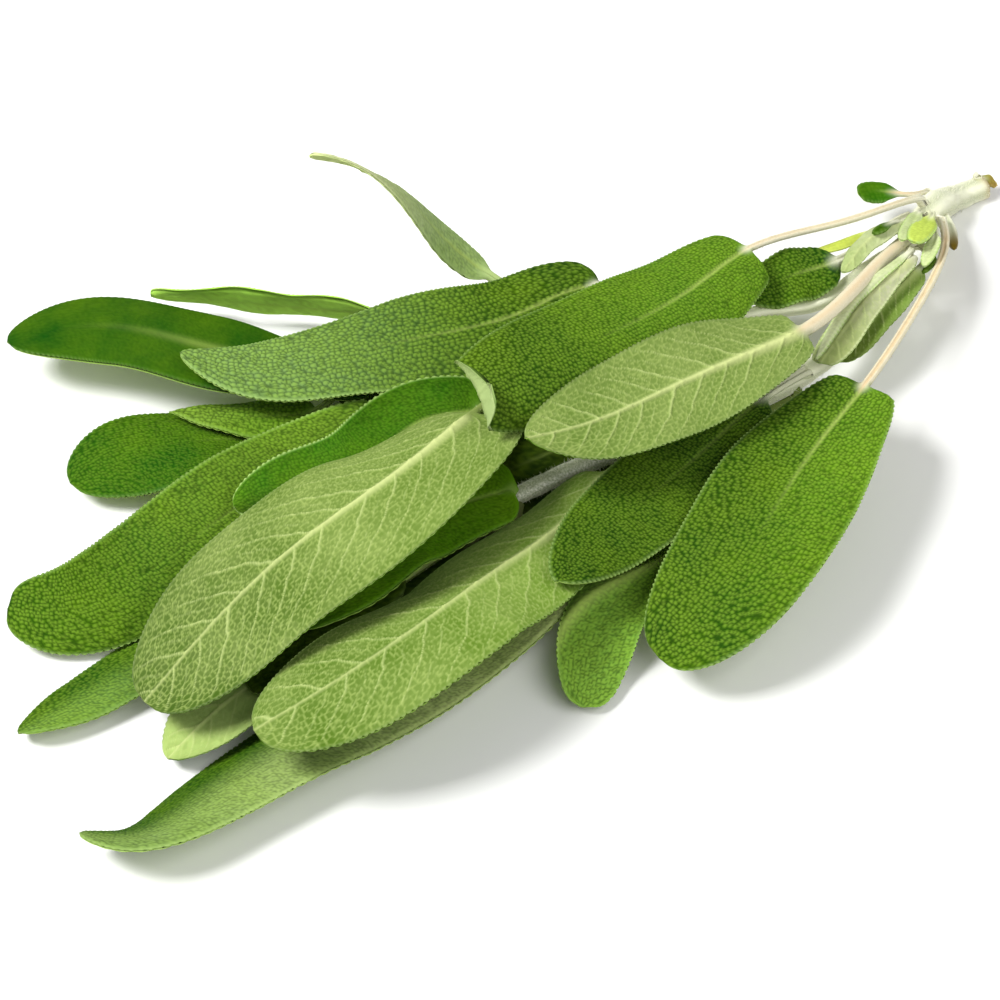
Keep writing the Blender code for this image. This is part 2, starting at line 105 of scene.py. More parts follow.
LEAVES = (
    Leaf("leaf_broad_top", "front", 0.13, ((84, -1, 10), (67, -2, 15)),
         ((43.5, -1.5, 20.6), (27, -6, 24), (7, -9.5, 28), (-10, -11, 31), (-23.5, -11, 32.3)),
         22, (0.28, 0.27), -13, (10, -14), (-28, -28, -23, -23), stalk_radius=0.65),
    Leaf("leaf_pale_upper", "rear", 0.14, ((69, -11, 13), (57, -16, 16)),
         ((39, -22, 20), (25, -23, 23), (9, -23, 25), (-7, -23, 27), (-19, -22, 30)),
         19, (0.53, 0.54), 165, (9, 5), (-13, -13, -8, -8), stalk_radius=1.2),
    Leaf("leaf_pale_large", "rear", 0.80, ((-8, -3, 18),),
         ((-19, -7, 22), (-39, -13, 25), (-58, -14, 22), (-75, -15, 15), (-89, -17, 8)),
         33, (0.30, 0.38), 192, (8, -4), (32, 2, 0, 0)),
    Leaf("leaf_right_broad", "front", 0.14, ((81.8, -11.5, 9.8), (64, -24, 13)),
         ((43, -34.5, 15), (27, -41, 16), (10, -49, 16), (-6, -55, 13), (-17, -56, 7.5)),
         24.2, (0.41, 0.37), -2, (8, 6), (4, 4, 4, 4), stalk_radius=0.75),
    Leaf("leaf_pale_folded", "front", 0.66, (),
         ((-3, -23.5, 12), (-16, -29.5, 14.5), (-31, -33, 17), (-49, -37, 20), (-66, -38, 19),
          (-80, -36, 15)),
         26, (0.52, 0.43), 197, (-24, -19), (50, 21, 16, 13)),
    Leaf("leaf_front_curled", "front", 0.70, (),
         ((-18, -33, 4.6), (-36, -35, 3.7), (-54, -35, 4.4), (-73, -35, 5), (-91, -36, 5),
          (-103, -36, 6), (-109, -31, 6)),
         19, (0.47, 0.46), 14, (9, 24), (-12, -12, -16, -16)),
    Leaf("leaf_long_left", "rear", 1.0, (),
         ((-26, 9, 9), (-37, 11, 7), (-57, 9, 8), (-78, 6, 7), (-90, 8, 6), (-97, 14, 6)),
         19, (0.31, 0.32), -24, (-4, -11), (-1, -1, 7, 7)),
    Leaf("leaf_wavy_mid", "rear", 0.86, (),
         ((-13, -1.3, 14.5), (-23, 2, 15), (-36, 0.5, 13.7), (-47, 3.2, 13), (-58, 6.5, 12)),
         16, (0.25, 0.41), -4, (0, 0), (0, 0, 60, 30)),
    Leaf("leaf_pebbled_long", "rear", 0.61, (),
         ((18, 8, 18), (3, 10, 19), (-12, 16, 17), (-27, 24, 14), (-40, 31, 13), (-48, 40, 14)),
         22, (0.29, 0.53), -1, (3, 13), (-6, -6, -6, -6)),
    Leaf("leaf_far_left", "rear", 0.90, (),
         ((-22, 18, 9), (-32, 30, 9), (-43, 43, 10), (-55, 57, 10), (-70, 63, 10)),
         21, (0.47, 0.47), 12, (5, -8), (-4, -4, -8, -8)),
    Leaf("leaf_left_blunt", "rear", 0.92, ((-19, 10, 5.5),),
         ((-28, 14, 3.6), (-39, 21, 3.1), (-52, 28, 4.5), (-64, 32, 5), (-75, 33, 4)),
         23, (0.42, 0.48), 20, (-23, -32), (-1, -1, -8, -8)),
    Leaf("leaf_left_pointed", "front", 1.0, ((-42, -13, 5),),
         ((-56, -10, 2.3), (-74, -6, 2.0), (-92, -6, 2.0), (-107, -7, 3)),
         13, (0.39, 0.43), 10, (-1, 12), (-6, -6, -10, -10)),
    Leaf("leaf_pale_tucked", "front", 0.95, (),
         ((-49, -18, 4), (-66, -21, 5), (-80, -22.5, 4), (-90, -25, 2.5)),
         17, (0.44, 0.50), 190, (0, 0), (-6, -6, -10, -10)),
    Leaf("leaf_inner_round", "front", 0.92, (),
         ((-18, -16, 10), (-29, -12, 9), (-44, -14, 10), (-62, -21, 11)),
         19, (0.29, 0.46), 6, (-5, 15), (6, 6, 4, 4)),
    Leaf("leaf_centre_dark", "front", 0.49, (),
         ((29, -25, 12.5), (14, -29, 13.5), (-1, -33, 15), (-15, -37, 17), (-27, -42, 20)),
         17, (0.54, 0.56), -12, (8, 2), (-9, -9, -5, -5)),
    Leaf("leaf_front_small", "front", 0.58, ((12, -34, 9),),
         ((0, -39, 8), (-17, -43, 6), (-30, -54, 2)),
         13, (0.55, 0.38), -1, (17, -31), (10, 10, 11, 11)),
    Leaf("leaf_slim_back", "rear", 0.80, ((-5, 20, 9),),
         ((-11, 31, 8), (-22, 43, 7), (-33, 53, 7), (-42, 62, 6)),
         9, (0.41, 0.44), -103, (-3, -8), (-18, -18, 1, 1)),
    Leaf("leaf_node_dark", "front", 0.17, ((78, -4, 10.5),),
         ((59, -8, 14), (50, -7, 15), (39, -7, 15)),
         11, (0.41, 0.53), -11, (-5, -2), (-7, -7, -3, -3)),
    Leaf("leaf_tiny_top", "front", 0.08, (),
         ((84, 3, 8), (81, 6, 8), (77, 7, 9)),
         5, (0.43, 0.37), -6, (-1, -8), (-9, -9, -6, -6), 0, stalk_radius=0.5),
    Leaf("leaf_curled_sprout", "rear", 0.72, ((10, 10, 13),),
         ((6, 24, 14.4), (0, 30, 22.6), (-5, 34, 31.8), (-12, 38, 40), (-20, 39, 46.2)),
         9, (0.38, 0.47), 22, (-40, 50), (-16, -16, -3, -3), 0),
    Leaf("leaf_fold_pale", "front", 0.25, (),
         ((71, -14.8, 13.2), (62, -17, 13.8), (52, -20.3, 13.4), (42, -24.2, 12)),
         7.2, (0.60, 0.26), 195, (4, -6), (30, 30, 22, 22), 0.2, 0.7),
    Leaf("leaf_fold_green", "front", 0.20, ((76.5, -12.7, 9.7),),
         ((72.5, -15.5, 10.9), (62.5, -18.9, 11.4), (54, -22, 11.2), (46, -25, 10.5)),
         7, (0.40, 0.40), 190, (-6, -3), (14, 10, 14, 10), 0.2, stalk_radius=0.7),
    Leaf("leaf_bud_bright", "front", 0.15, (),
         ((81, -8, 12.5), (76, -11, 15), (71.5, -13.5, 16.2)),
         4.4, (0.43, 0.38), -4, (0, 0), (-9, -9, -7, -7), 0, 0.7),
    Leaf("leaf_bud_pale", "rear", 0.10, (),
         ((76, -7, 13.2), (68, -8, 15.3), (61.5, -10, 16.1), (56.5, -12.3, 15.9)),
         4, (0.36, 0.40), 181, (0, 0), (20, 20, 20, 20), 0.2, 0.7),
    Leaf("leaf_under_back", "rear", 0.66, (),
         ((5, -1, 8), (-6, 9, 4.5), (-16, 19, 2.2), (-24, 29, 1.3)), 17),
    Leaf("leaf_under_mid", "front", 0.60, (),
         ((12, -12, 5), (-3, -9, 4.6), (-18, -6.5, 3.5), (-34, -4, 2.5)), 19),
    Leaf("leaf_under_front", "front", 0.51, (),
         ((25, -24, 6), (12, -25, 4), (-3, -27, 3), (-14, -28, 2)), 16, roll=180),
)
print("leaves:", len(LEAVES), "with blades up to", max(leaf.width for leaf in LEAVES), "mm wide")

# %% [markdown]
# ## Little leaves
# Between the big leaves of a real bunch sit small ones that have only just unfolded, the sheaths at
# the feet of the stalks, and scraps where a leaf was torn off. Colour on the big leaves could stand
# for them, but from the side nothing would be there. So each is a small leaf with a line of its own.
# They are too slight to matter as solids, so they replace none. The first two are near-black sheets that
# stand for the shade in the gaps between the big leaves: painted shade.

# %% Little leaves
LITTLE_LEAVES = (
    # painted shade: a near-black sheet in the gap under the big leaves
    Leaf("little_under", "front", 0.90, (),
         ((-26, -17, 2.8), (-36, -18.5, 2.2), (-46, -20, 1.8), (-58, -23, 1.6), (-68, -26, 1.5)),
         13, (0.4, 0.4), 0, (0, 0), (0, 0, 0, 0), 0.2, 0.8),
    # painted shade: a near-black sheet above the tucked leaf, in the gap under the big leaves
    Leaf("little_middle", "front", 0.96, (),
         ((-41, -18.5, 8.2), (-50, -19.5, 8), (-58, -20.5, 7.8), (-66, -22, 7.4), (-73.5, -24.5, 7)),
         11, (0.4, 0.28), 0, (0, 0), (0, 0, 0, 0), 0.2, 0.8),
    Leaf("little_left", "rear", 0.93, ((-27, 21, 9),),
         ((-33, 20.5, 7), (-38, 23.5, 6.2), (-42.5, 27, 5.6), (-47, 31.5, 5.1), (-53, 37, 4.6)),
         11, (0.35, 0.85), 12, (-10, 4), (-6, -6, -10, -10), 0.2, 0.7),
    Leaf("little_yellow", "rear", 0.13, (),
         ((70, -4.8, 12.5), (63, -4.2, 13), (57.5, -3.3, 13.5)),
         2.2, (0.4, 0.4), 0, (0, 0), (-20, -20, -20, -20), 0, 0.5),
    Leaf("little_white", "front", 0.16, (),
         ((79, -11.5, 12.5), (75.5, -14.5, 13.2), (71.5, -17, 13)),
         3, (0.4, 0.4), 20, (0, 0), (25, 25, 25, 25), 0, 0.5),
    Leaf("little_dark", "front", 0.17, (),
         ((77, -13.5, 10.8), (74, -15.5, 11.2), (71, -17, 11.5)),
         3, (0.4, 0.4), 30, (0, 0), (-10, -10, -10, -10), 0, 0.4),
    Leaf("little_tuft", "rear", 0.11, (),
         ((72, -7.5, 15.8), (69, -8, 16.8), (66.5, -8.3, 17)),
         2, (0.4, 0.4), 0, (0, 0), (-10, -10, -10, -10), 0, 0.4),
    Leaf("little_strip", "front", 0.22, (),
         ((70, -14.2, 14.8), (60, -16.3, 15.6), (50, -19.7, 15.4), (41, -24, 13.8)),
         2.4, (0.4, 0.35), 0, (0, 0), (-30, -30, -30, -30), 0.2, 0.5),
    Leaf("little_scrap", "front", 0.0, (),
         ((101.5, 1.8, 3.6), (103.2, 0.6, 3.2), (104.6, -1.2, 1.9)),
         2.6, (0.4, 0.6), 0, (0, 30), (30, 30, -30, -30), 0.2, 0.4),
    Leaf("little_sheath", "rear", 0.09, (),
         ((80, -6, 12.5), (75, -9, 14.8), (70.5, -11.5, 15.6)),
         3, (0.45, 0.35), 0, (0, 0), (20, 20, 20, 20), 0, 0.6),
)
print("little leaves:", len(LITTLE_LEAVES))

# %% [markdown]
# ## Colours
# A colour picked on a screen is an sRGB code, in which equal steps look equal to the eye. The
# renderer adds up real light, so every code is turned into linear light before a node gets it.

# %% Colours
def linear(hex_code):
    """An sRGB colour such as "#88AA44" as the linear colour that the nodes expect."""
    channels = [int(hex_code[i:i + 2], 16) / 255 for i in (1, 3, 5)]
    straight = [c / 12.92 if c <= 0.04045 else ((c + 0.055) / 1.055) ** 2.4 for c in channels]
    return (*straight, 1.0)


print("half-bright grey in linear light:", round(linear("#808080")[0], 3))

# %% [markdown]
# ## How the leaves' skins differ
# A sage bunch is a patchwork of greens: old leaves are dark, young ones yellow-green, and one that
# shows its felted underside is pale. One material for each leaf would be 37 materials that hardly
# differ. Here the differences are a table as well, and its values are stored in the leaves' meshes,
# where two shared materials read them.

# %% How the leaves' skins differ
@dataclass
class Look:
    """How one leaf's skin differs from the others'."""
    upper: str               # colour of the upper face
    under: str = "#8FA850"   # and of the underside
    pebble: float = 1.0      # height of the net's relief
    streak: float = 0.3      # how pale the midrib is; a broad streak is painted sheen
    pairs: int = 8           # lateral veins on each side
    bare: float = 0.0        # the stalk: 0 green, 0.5 woolly, 1 bare and pink-brown
    grid: float = 0.28       # distance between the points of the mesh, in mm
    cushion: float = 0.8     # pitch of the cushions on the upper face, in mm
    tip: str = ""            # colour towards the tip, where it differs
    fold: float = 0.0        # length of the end that is folded up, in mm
    edge: float = 0.6        # how pale the beads along the margin are
    hair: float = 1.0        # how much the hairs and the painted highlight on the cushions lighten the upper face
    reach: float = 0.65      # how far along the blade the pale midrib shows from above
    broad: float = 1.0       # and how wide it is, compared with the others
    crease: float = 0.0      # height of a ridge that runs slantwise over the blade, in mm; the ridge gets a painted highlight, the blade beyond it painted shadow
    side: str = ""           # colour towards one edge of the upper face, where it differs


LOOKS = {
    "leaf_broad_top": Look("#568418", "#98AC70", 1.0, 0.5, 9, 0.75, 0.215, 0.66, "#163E00", 3.2, 0.7),
    "leaf_pale_upper": Look("#3F6A00", "#647C34", 1.0, 0.9, 9, 0.85, 0.27),
    "leaf_pale_large": Look("#3F6A00", "#607A2C", 1.0, 0.8, 10, 0.0, 0.30, tip="#324E06"),
    "leaf_right_broad": Look("#568418", "#7F9C3E", 1.1, 0.5, 10, 0.9, 0.235, 0.74, "#265200",
                             edge=0.8, side="#224A00"),
    "leaf_pale_folded": Look("#3F6A00", "#68882A", 1.0, 0.7, 9, 0.0, 0.30, tip="#486614"),
    # pale towards the base: painted light where the leaf above shades it, and painted sheen; its dark side:
    # painted shade
    "leaf_front_curled": Look("#BCC884", "#7F9C3E", 0.8, 0.2, 9, 0.0, 0.31, 0.7, "#809C54",
                              edge=0.8, hair=0.5, side="#1E4C00"),
    "leaf_long_left": Look("#5C8424", "#7F9C3E", 1.0, 0.3, 9, 0.3, 0.24, 0.66, "#2C5800", edge=0.8),
    # dark, and darker towards the tip: painted shade in the trough below its rim
    "leaf_wavy_mid": Look("#1C5600", "#7F9C3E", 0.8, 0.5, 7, 0.0, 0.25, 0.6, "#0E3C00",
                          edge=1.2, hair=0.4, side="#2E6A06"),
    # its pale grey tip: painted sheen, where the hairs are seen at a grazing angle
    "leaf_pebbled_long": Look("#1A4200", "#7F9C3E", 1.5, 0.4, 9, 0.5, 0.26, 0.9, "#789858",
                              edge=0.8, hair=0.9),
    # a broad pale streak down its middle: painted sheen
    "leaf_far_left": Look("#0A4800", "#7F9C3E", 0.3, 0.4, 8, grid=0.45, hair=0.3, reach=0.9, broad=3.5),
    "leaf_left_blunt": Look("#1C5600", "#7F9C3E", 0.9, 0.3, 8, 0.0, 0.28, 0.64, hair=0.6),
    "leaf_left_pointed": Look("#64883C", "#7F9C3E", 0.8, 0.2, 7, 0.0, 0.3, 0.7, side="#204E00"),
    "leaf_pale_tucked": Look("#3F6A00", "#A0B868", 1.2, 0.9, 7, grid=0.3),
    "leaf_inner_round": Look("#4C8400", "#7F9C3E", 0.7, 0.3, 7, 0.0, 0.33, 0.7, hair=0.7),
    "leaf_centre_dark": Look("#123E00", "#7F9C3E", 1.0, 0.15, 7, 0.3, 0.22, 0.6, edge=0.8, hair=0.9),
    # its crease gets a painted highlight, and painted shadow beyond it
    "leaf_front_small": Look("#74A438", "#7F9C3E", 1.0, 0.2, 6, 0.0, 0.3, 0.74, "#84B444", crease=1.0),
    # pale: painted light, for a leaf that faces away from the lamps
    "leaf_slim_back": Look("#B8EC60", "#B8EC60", 0.4, 0.3, 7, grid=0.4),
    "leaf_node_dark": Look("#1C4A00", "#7F9C3E", 1.0, 0.4, 6, 0.4, 0.2, 0.66, edge=0.8, hair=0.9),
    "leaf_tiny_top": Look("#2C6400", "#7F9C3E", 0.2, 0.5, 4, 0.9),
    "leaf_curled_sprout": Look("#A4BC7C", "#E4ECA8", 0.6, 0.5, 8, 0.0, 0.35, tip="#F4FAC0"),
    "leaf_fold_pale": Look("#B8B898", "#B0B094", 0.6, 0.6, 5, 0.5, edge=1.6, tip="#98A468"),
    "leaf_fold_green": Look("#6C8A34", "#6C8C34", 0.4, 0.5, 5, 0.4, tip="#4C6410"),
    "leaf_bud_bright": Look("#CCE064", "#C0D870", 0.3, 0.2, 4, 0.4, edge=1.5),
    "leaf_bud_pale": Look("#9CB070", "#D0D8A8", 0.4, 0.5, 4, 0.4, tip="#A8B878"),
    "leaf_under_back": Look("#1C3800", "#4C6A18", grid=0.6, hair=0.4),
    # near-black: painted shade in the gap between the leaves above
    "leaf_under_mid": Look("#061400", "#4C6A18", grid=0.6, hair=0.2),
    "leaf_under_front": Look("#2C5000", "#3C5A10", grid=0.6),
    # near-black: painted shade in the gaps between the leaves
    "little_under": Look("#081C00", "#203C00", grid=0.6, hair=0.2),
    "little_middle": Look("#081C00", "#203C00", grid=0.6, hair=0.2),
    "little_left": Look("#4C7A18", "#7F9C3E", 1.2, 0.1, 6, 0.0, 0.3, 0.85, "#6C8C34"),
    "little_yellow": Look("#D0DC60", "#D8E26E", 0.3, 0.2, 3, 0.5),
    "little_white": Look("#DCE4B0", "#E8ECC8", 0.3, 0.2, 3, 0.5, edge=1.3),
    "little_dark": Look("#1C4200", "#2C5200", 0.5, 0.2, 3, 0.0),
    "little_tuft": Look("#2C5400", "#3C6410", 0.5, 0.2, 3, 0.4),
    "little_strip": Look("#D8DEB4", "#E4E8C8", 0.3, 0.2, 5, 0.5, edge=1.2),
    "little_scrap": Look("#8C8C30", "#A0A060", 0.5, 0.2, 3, 0.5, tip="#A87C48"),
    "little_sheath": Look("#C8D49C", "#E4E8C4", 0.3, 0.2, 3, 0.5, edge=1.2),
}
print("greens of the upper faces:", len({look.upper for look in LOOKS.values()}))

# %% [markdown]
# ## Smooth lines
# A stem or a midrib is never a chain of straight bits: it bends like a springy wire. A cubic spline
# through the table's points does just that. The frames carried along it say which way a leaf's face
# looks at each point, without the sudden spins that a plain "up" vector would give.

# %% Smooth lines
def unit(vectors):
    return vectors / np.linalg.norm(vectors, axis=-1, keepdims=True)


def lengths_along(path):
    steps = np.linalg.norm(np.diff(path, axis=0), axis=1)
    return np.concatenate([[0.0], np.cumsum(steps)])


def smooth_line(points, count=400):
    """A natural cubic spline through the points, sampled evenly along its length."""
    points = np.asarray(points, float)
    knots = lengths_along(points)
    gaps = np.diff(knots)
    matrix = np.eye(len(points))
    right = np.zeros_like(points)
    for i in range(1, len(points) - 1):
        matrix[i, i - 1:i + 2] = gaps[i - 1], 2 * (gaps[i - 1] + gaps[i]), gaps[i]
        slope_after = (points[i + 1] - points[i]) / gaps[i]
        slope_before = (points[i] - points[i - 1]) / gaps[i - 1]
        right[i] = 6 * (slope_after - slope_before)
    bends = np.linalg.solve(matrix, right)
    at = np.linspace(0, knots[-1], 4 * count)
    i = np.clip(np.searchsorted(knots, at) - 1, 0, len(gaps) - 1)
    before = ((knots[i + 1] - at) / gaps[i])[:, None]
    after = 1 - before
    square = (gaps[i] ** 2 / 6)[:, None]
    fine = before * points[i] + after * points[i + 1]
    fine += ((before ** 3 - before) * bends[i] + (after ** 3 - after) * bends[i + 1]) * square
    return resample(fine, np.linspace(0, lengths_along(fine)[-1], count))


def resample(path, at):
    """The points of a path at the given distances along it."""
    along = lengths_along(path)
    return np.stack([np.interp(at, along, path[:, k]) for k in range(3)], axis=1)


def carried_frames(path, start, roll):
    """Face normal and sideways direction, carried both ways from the start without twist."""
    tangents = unit(np.gradient(path, axis=0))
    normals = np.zeros_like(path)
    up = np.array([0.0, 0.0, 1.0])
    normals[start] = unit(up - tangents[start] * tangents[start][2])
    for step in (1, -1):
        i = start + step
        while 0 <= i < len(path):
            previous = normals[i - step]
            normals[i] = unit(previous - tangents[i] * (previous @ tangents[i]))
            i += step
    sideways = np.cross(tangents, normals)
    angle = np.radians(roll)[:, None]
    faces = normals * np.cos(angle) + sideways * np.sin(angle)
    return faces, np.cross(tangents, faces)


for name, shoot in SHOOTS.items():
    print(name, "shoot:", round(lengths_along(smooth_line(shoot.route))[-1]), "mm long")

# %% [markdown]
# ## Where each leaf grows
# A leaf's stalk starts at the skin of its stem, on the side that it leaves towards, and the stem is
# thickest at the node, where the longest stalks leave it. If every line began on the stem's axis,
# short stalks would seem to be stuck in. So the root of each line is pushed out to the stem's skin.

# %% Where each leaf grows
SQUARENESS = 1.08            # a stem's corners stand out this much more than its faces
NODE_AT = 14.0               # the swollen node sits this far along the stem from the cut end
NODE_SWELL = 0.8             # how much thicker the stem is there,
NODE_SPREAD = 5.0            # and over what length
ROOT_GAP = 0.3               # the solids keep this gap between a stalk and its stem


def shoot_radius(name, distances, total):
    """A shoot tapers along its length, and the main stem swells at its node."""
    radii = np.interp(distances / total, (0, 1), SHOOTS[name].radii)
    if name == "front":
        radii = radii + NODE_SWELL * np.exp(-((distances - NODE_AT) / NODE_SPREAD) ** 2)
    return radii


def leaf_line(leaf):
    """The whole centre line of a leaf, and how much of it is stalk."""
    axis = smooth_line(SHOOTS[leaf.shoot].route)
    total = lengths_along(axis)[-1]
    i = round(leaf.at * (len(axis) - 1))
    tangent = unit(axis[min(i + 1, len(axis) - 1)] - axis[max(i - 1, 0)])
    towards = np.array((leaf.stalk + leaf.blade)[0], float) - axis[i]
    if leaf.at < 1:
        sideways = unit(towards - tangent * (towards @ tangent))
        radius = SQUARENESS * shoot_radius(leaf.shoot, leaf.at * total, total)
        root = axis[i] + sideways * (radius + ROOT_GAP + leaf.stalk_radius)
    else:
        root = axis[i] + unit(towards) * (ROOT_GAP + leaf.stalk_radius)
    line = smooth_line((tuple(root),) + leaf.stalk + leaf.blade)
    base = np.argmin(np.linalg.norm(line - np.array(leaf.blade[0], float), axis=1))
    return line, lengths_along(line)[base], axis[i]


example_line, example_stalk, _ = leaf_line(LEAVES[0])
example_length = round(lengths_along(example_line)[-1])
print(LEAVES[0].name, "is", example_length, "mm long,", round(example_stalk), "of it stalk")

# %% [markdown]
# ## From grids of points to meshes
# A leaf is two sheets (its upper face and its underside) joined round the margin, so it can be made
# as two grids of points. NumPy moves all the points at once, which keeps a leaf of 30,000 points
# quick. Values that the materials need later, such as how near a point is to a vein, are stored in
# the mesh as colour attributes: they belong to the leaf, so they stay put when it is moved.

# %% From grids of points to meshes
def new_mesh(name, points, faces, materials, attributes, face_materials=None):
    """A smooth mesh object from points in millimetres in the tables' frame."""
    centred = np.asarray(points) - np.array([*FOOTPRINT_MIDDLE, 0])
    mesh = bpy.data.meshes.new(name)
    mesh.from_pydata((centred * MM).tolist(), [], faces)
    for material in materials:
        mesh.materials.append(material)
    if face_materials is not None:
        mesh.polygons.foreach_set("material_index", face_materials)
    for label, values in attributes.items():
        layer = mesh.attributes.new(label, "FLOAT_COLOR", "POINT")
        layer.data.foreach_set("color", np.asarray(values, np.float32).ravel())
    mesh.shade_smooth()
    mesh.update()
    item = bpy.data.objects.new(name, mesh)
    bpy.context.scene.collection.objects.link(item)
    print(name, "-", len(points), "points,", len(faces), "faces")
    return item


def grid_faces(rows, columns, start=0, turned=False):
    """The four-sided faces of a grid of points whose numbers begin at start."""
    numbers = start + np.arange(rows * columns).reshape(rows, columns)
    a, b = numbers[:-1, :-1], numbers[1:, :-1]
    c, d = numbers[1:, 1:], numbers[:-1, 1:]
    order = (a, d, c, b) if turned else (a, b, c, d)
    return np.stack([part.ravel() for part in order], axis=1)


print("a grid of 3 by 4 points has", len(grid_faces(3, 4)), "faces")

# %% [markdown]
# ## Side veins
# Side veins leave the midrib at a slant and bend towards the tip. They could be drawn as curves, but
# every point of a leaf has to know how near it is to one. So each point is followed back along the
# vein that would pass through it, to the place on the midrib where that vein starts: counted in
# spacings between veins, that place is a whole number on a vein and a broken one between two.

# %% Side veins
VEIN_LEAN = 0.75             # how far a side vein runs forward for each mm it runs outward
VEIN_BEND = 0.55             # how much more it does so near the margin


def vein_foot(along_mm, across_mm, half):
    """Where on the midrib the side vein through this point would start."""
    out = abs(across_mm)
    return along_mm - VEIN_LEAN * out - VEIN_BEND * out ** 2 / np.maximum(half, 1.0)


def vein_number(along_mm, across_mm, half, blade_length, pairs, seed):
    """Counts the side veins: a whole number on each one, and a broken number between them.

    Near the base they lie closer to the midrib than further up.
    """
    random = np.random.default_rng(seed)
    spacing = blade_length / (pairs + 1)
    side = np.where(across_mm > 0, 0, 1)
    shift = np.array([0.0, 0.45])[side]
    foot = vein_foot(along_mm, across_mm, half) - 0.9 * np.exp(-along_mm / 14) * abs(across_mm)
    number = foot / spacing + shift
    for wave in (1, 2, 3):
        start = random.uniform(0, 2 * math.pi, 2)[side]
        number = number + 0.08 / wave * np.sin(wave * 1.9 * foot / spacing + start)
        start = random.uniform(0, 2 * math.pi, 2)[side]
        number = number + 0.03 / wave * np.sin(wave * 1.3 * abs(across_mm) + start + 2 * foot / spacing)
    return number, spacing


def vein_line(number, spacing, width):
    """1 on a vein, fading to 0 beside it."""
    gap = abs(number - np.round(number)) * spacing * 0.75
    return np.exp(-(gap / width) ** 2)


print("a vein reaches 5 mm out", round(-vein_foot(0.0, 5.0, np.array(10.0)), 1), "mm further along")

# %% [markdown]
# ## The net between the veins
# Between the side veins a fine net cuts the blade into hundreds of little cushions, about a
# millimetre across. A net of cells like this is a Voronoi pattern: each point belongs to the nearest
# of many seeds. Blender's Voronoi texture would cut through the veins, so the seeds here stand in
# jittered rows along them, and no cushion straddles a side vein, as on the real leaf.

# %% The net between the veins
def net(along_mm, across_mm, half, cell, seed):
    """The two nearest seeds' distances and a random number for the nearest, at every point."""
    random = np.random.default_rng(seed)
    foot = vein_foot(along_mm, across_mm, half)
    row = np.floor(foot / cell).astype(int)
    column = np.floor(across_mm / cell).astype(int)
    row_start, column_start = row.min() - 3, column.min() - 3
    size = (row.max() - row_start + 5, column.max() - column_start + 5)
    jitter = random.uniform(0.15, 0.85, (*size, 2))
    own = random.random(size)
    nearest = np.full(along_mm.shape, 99.0)
    second = nearest.copy()
    number = np.zeros(along_mm.shape)
    for i in (-2, -1, 0, 1, 2):
        for k in (-1, 0, 1):
            r, c = row + i, column + k
            pick = (r - row_start, c - column_start)
            seed_across = (c + jitter[(*pick, 1)]) * cell
            seed_foot = (r + jitter[(*pick, 0)]) * cell
            forward = seed_foot - vein_foot(np.zeros_like(half), seed_across, half)
            gap = np.hypot(forward - along_mm, seed_across - across_mm)
            closer = gap < nearest
            second = np.where(closer, nearest, np.minimum(second, gap))
            number = np.where(closer, own[pick], number)
            nearest = np.where(closer, gap, nearest)
    return nearest / cell, (second - nearest) / cell, number


patch_along, patch_across = np.meshgrid(np.linspace(1, 9, 80), np.linspace(-4, 4, 80))
patch = net(patch_along, patch_across, np.full(patch_along.shape, 10.0), 1.0, seed=0)
print("cells in a patch of 8 by 8 mm:", len(np.unique(patch[2])))

# %% [markdown]
# ## Wool
# Stems and stalks of sage are felted with short white hairs. Each one is a thin spike with three
# sides, which costs three triangles, so there can be thousands. They lean along the stem in random
# directions, as felt does. Blender's hair curves would be finer, but they can't leave it as a mesh.

# %% Wool
HAIR_THICKNESS = 0.055       # thicker than a real hair, which would be too fine to show
ABOVE_TABLE = 0.02           # nothing dips below this height


def wool(path, radii, hairs_per_mm, length, seed):
    """Points and triangles of hairs that stand on a rod with the given centre line and radii."""
    random = np.random.default_rng(seed)
    along = lengths_along(path)
    count = int(hairs_per_mm * along[-1])
    at = random.uniform(0, along[-1], count)
    tangents = unit(resample(path, at + 0.1) - resample(path, at - 0.1) + 1e-9)
    outward = random.normal(size=(count, 3))
    outward = unit(outward - tangents * (outward * tangents).sum(axis=1, keepdims=True))
    roots = resample(path, at) + outward * (np.interp(at, along, radii) - 0.05)[:, None]
    lean = random.normal(0, 0.9, (count, 3)) + tangents * random.normal(0, 1.2, (count, 1))
    tips = roots + unit(outward + lean * 0.7) * (length * random.uniform(0.5, 1.3, count))[:, None]
    side = unit(np.cross(outward, tangents)) * HAIR_THICKNESS
    lengthwise = tangents * HAIR_THICKNESS
    corners = (roots + side, roots - side / 2 + lengthwise, roots - side / 2 - lengthwise)
    points = np.stack([*corners, tips], axis=1)
    points[..., 2] = np.maximum(points[..., 2], ABOVE_TABLE)
    first = 4 * np.arange(count)[:, None]
    faces = np.concatenate([first + (0, 1, 3), first + (1, 2, 3), first + (2, 0, 3)])
    return points.reshape(-1, 3), faces


straight = np.linspace((0, 0, 5), (10, 0, 5), 20)
print("triangles of wool on 10 mm of stalk:", len(wool(straight, np.ones(20), 12, 0.28, 0)[1]))

# %% [markdown]
# ## The outline of a blade
# Sage blades are oblong: some end bluntly and some in a point. One formula gives both. Its outline
# swells with one power of the distance from the base and closes with another power towards the tip,
# so two numbers in the plan shape a whole blade.

# %% The outline of a blade
def outline(leaf, along):
    """Half the blade's width, at shares of its length from 0 to 1."""
    swell, close = leaf.shape
    widest = swell / (swell + close)
    profile = (along / widest) ** swell * ((1 - along) / (1 - widest)) ** close
    return leaf.width / 2 * profile


def smoothstep(x):
    x = np.clip(x, 0, 1)
    return x * x * (3 - 2 * x)


print("half widths along the first blade:", np.round(outline(LEAVES[0], np.linspace(0, 1, 5)), 1))

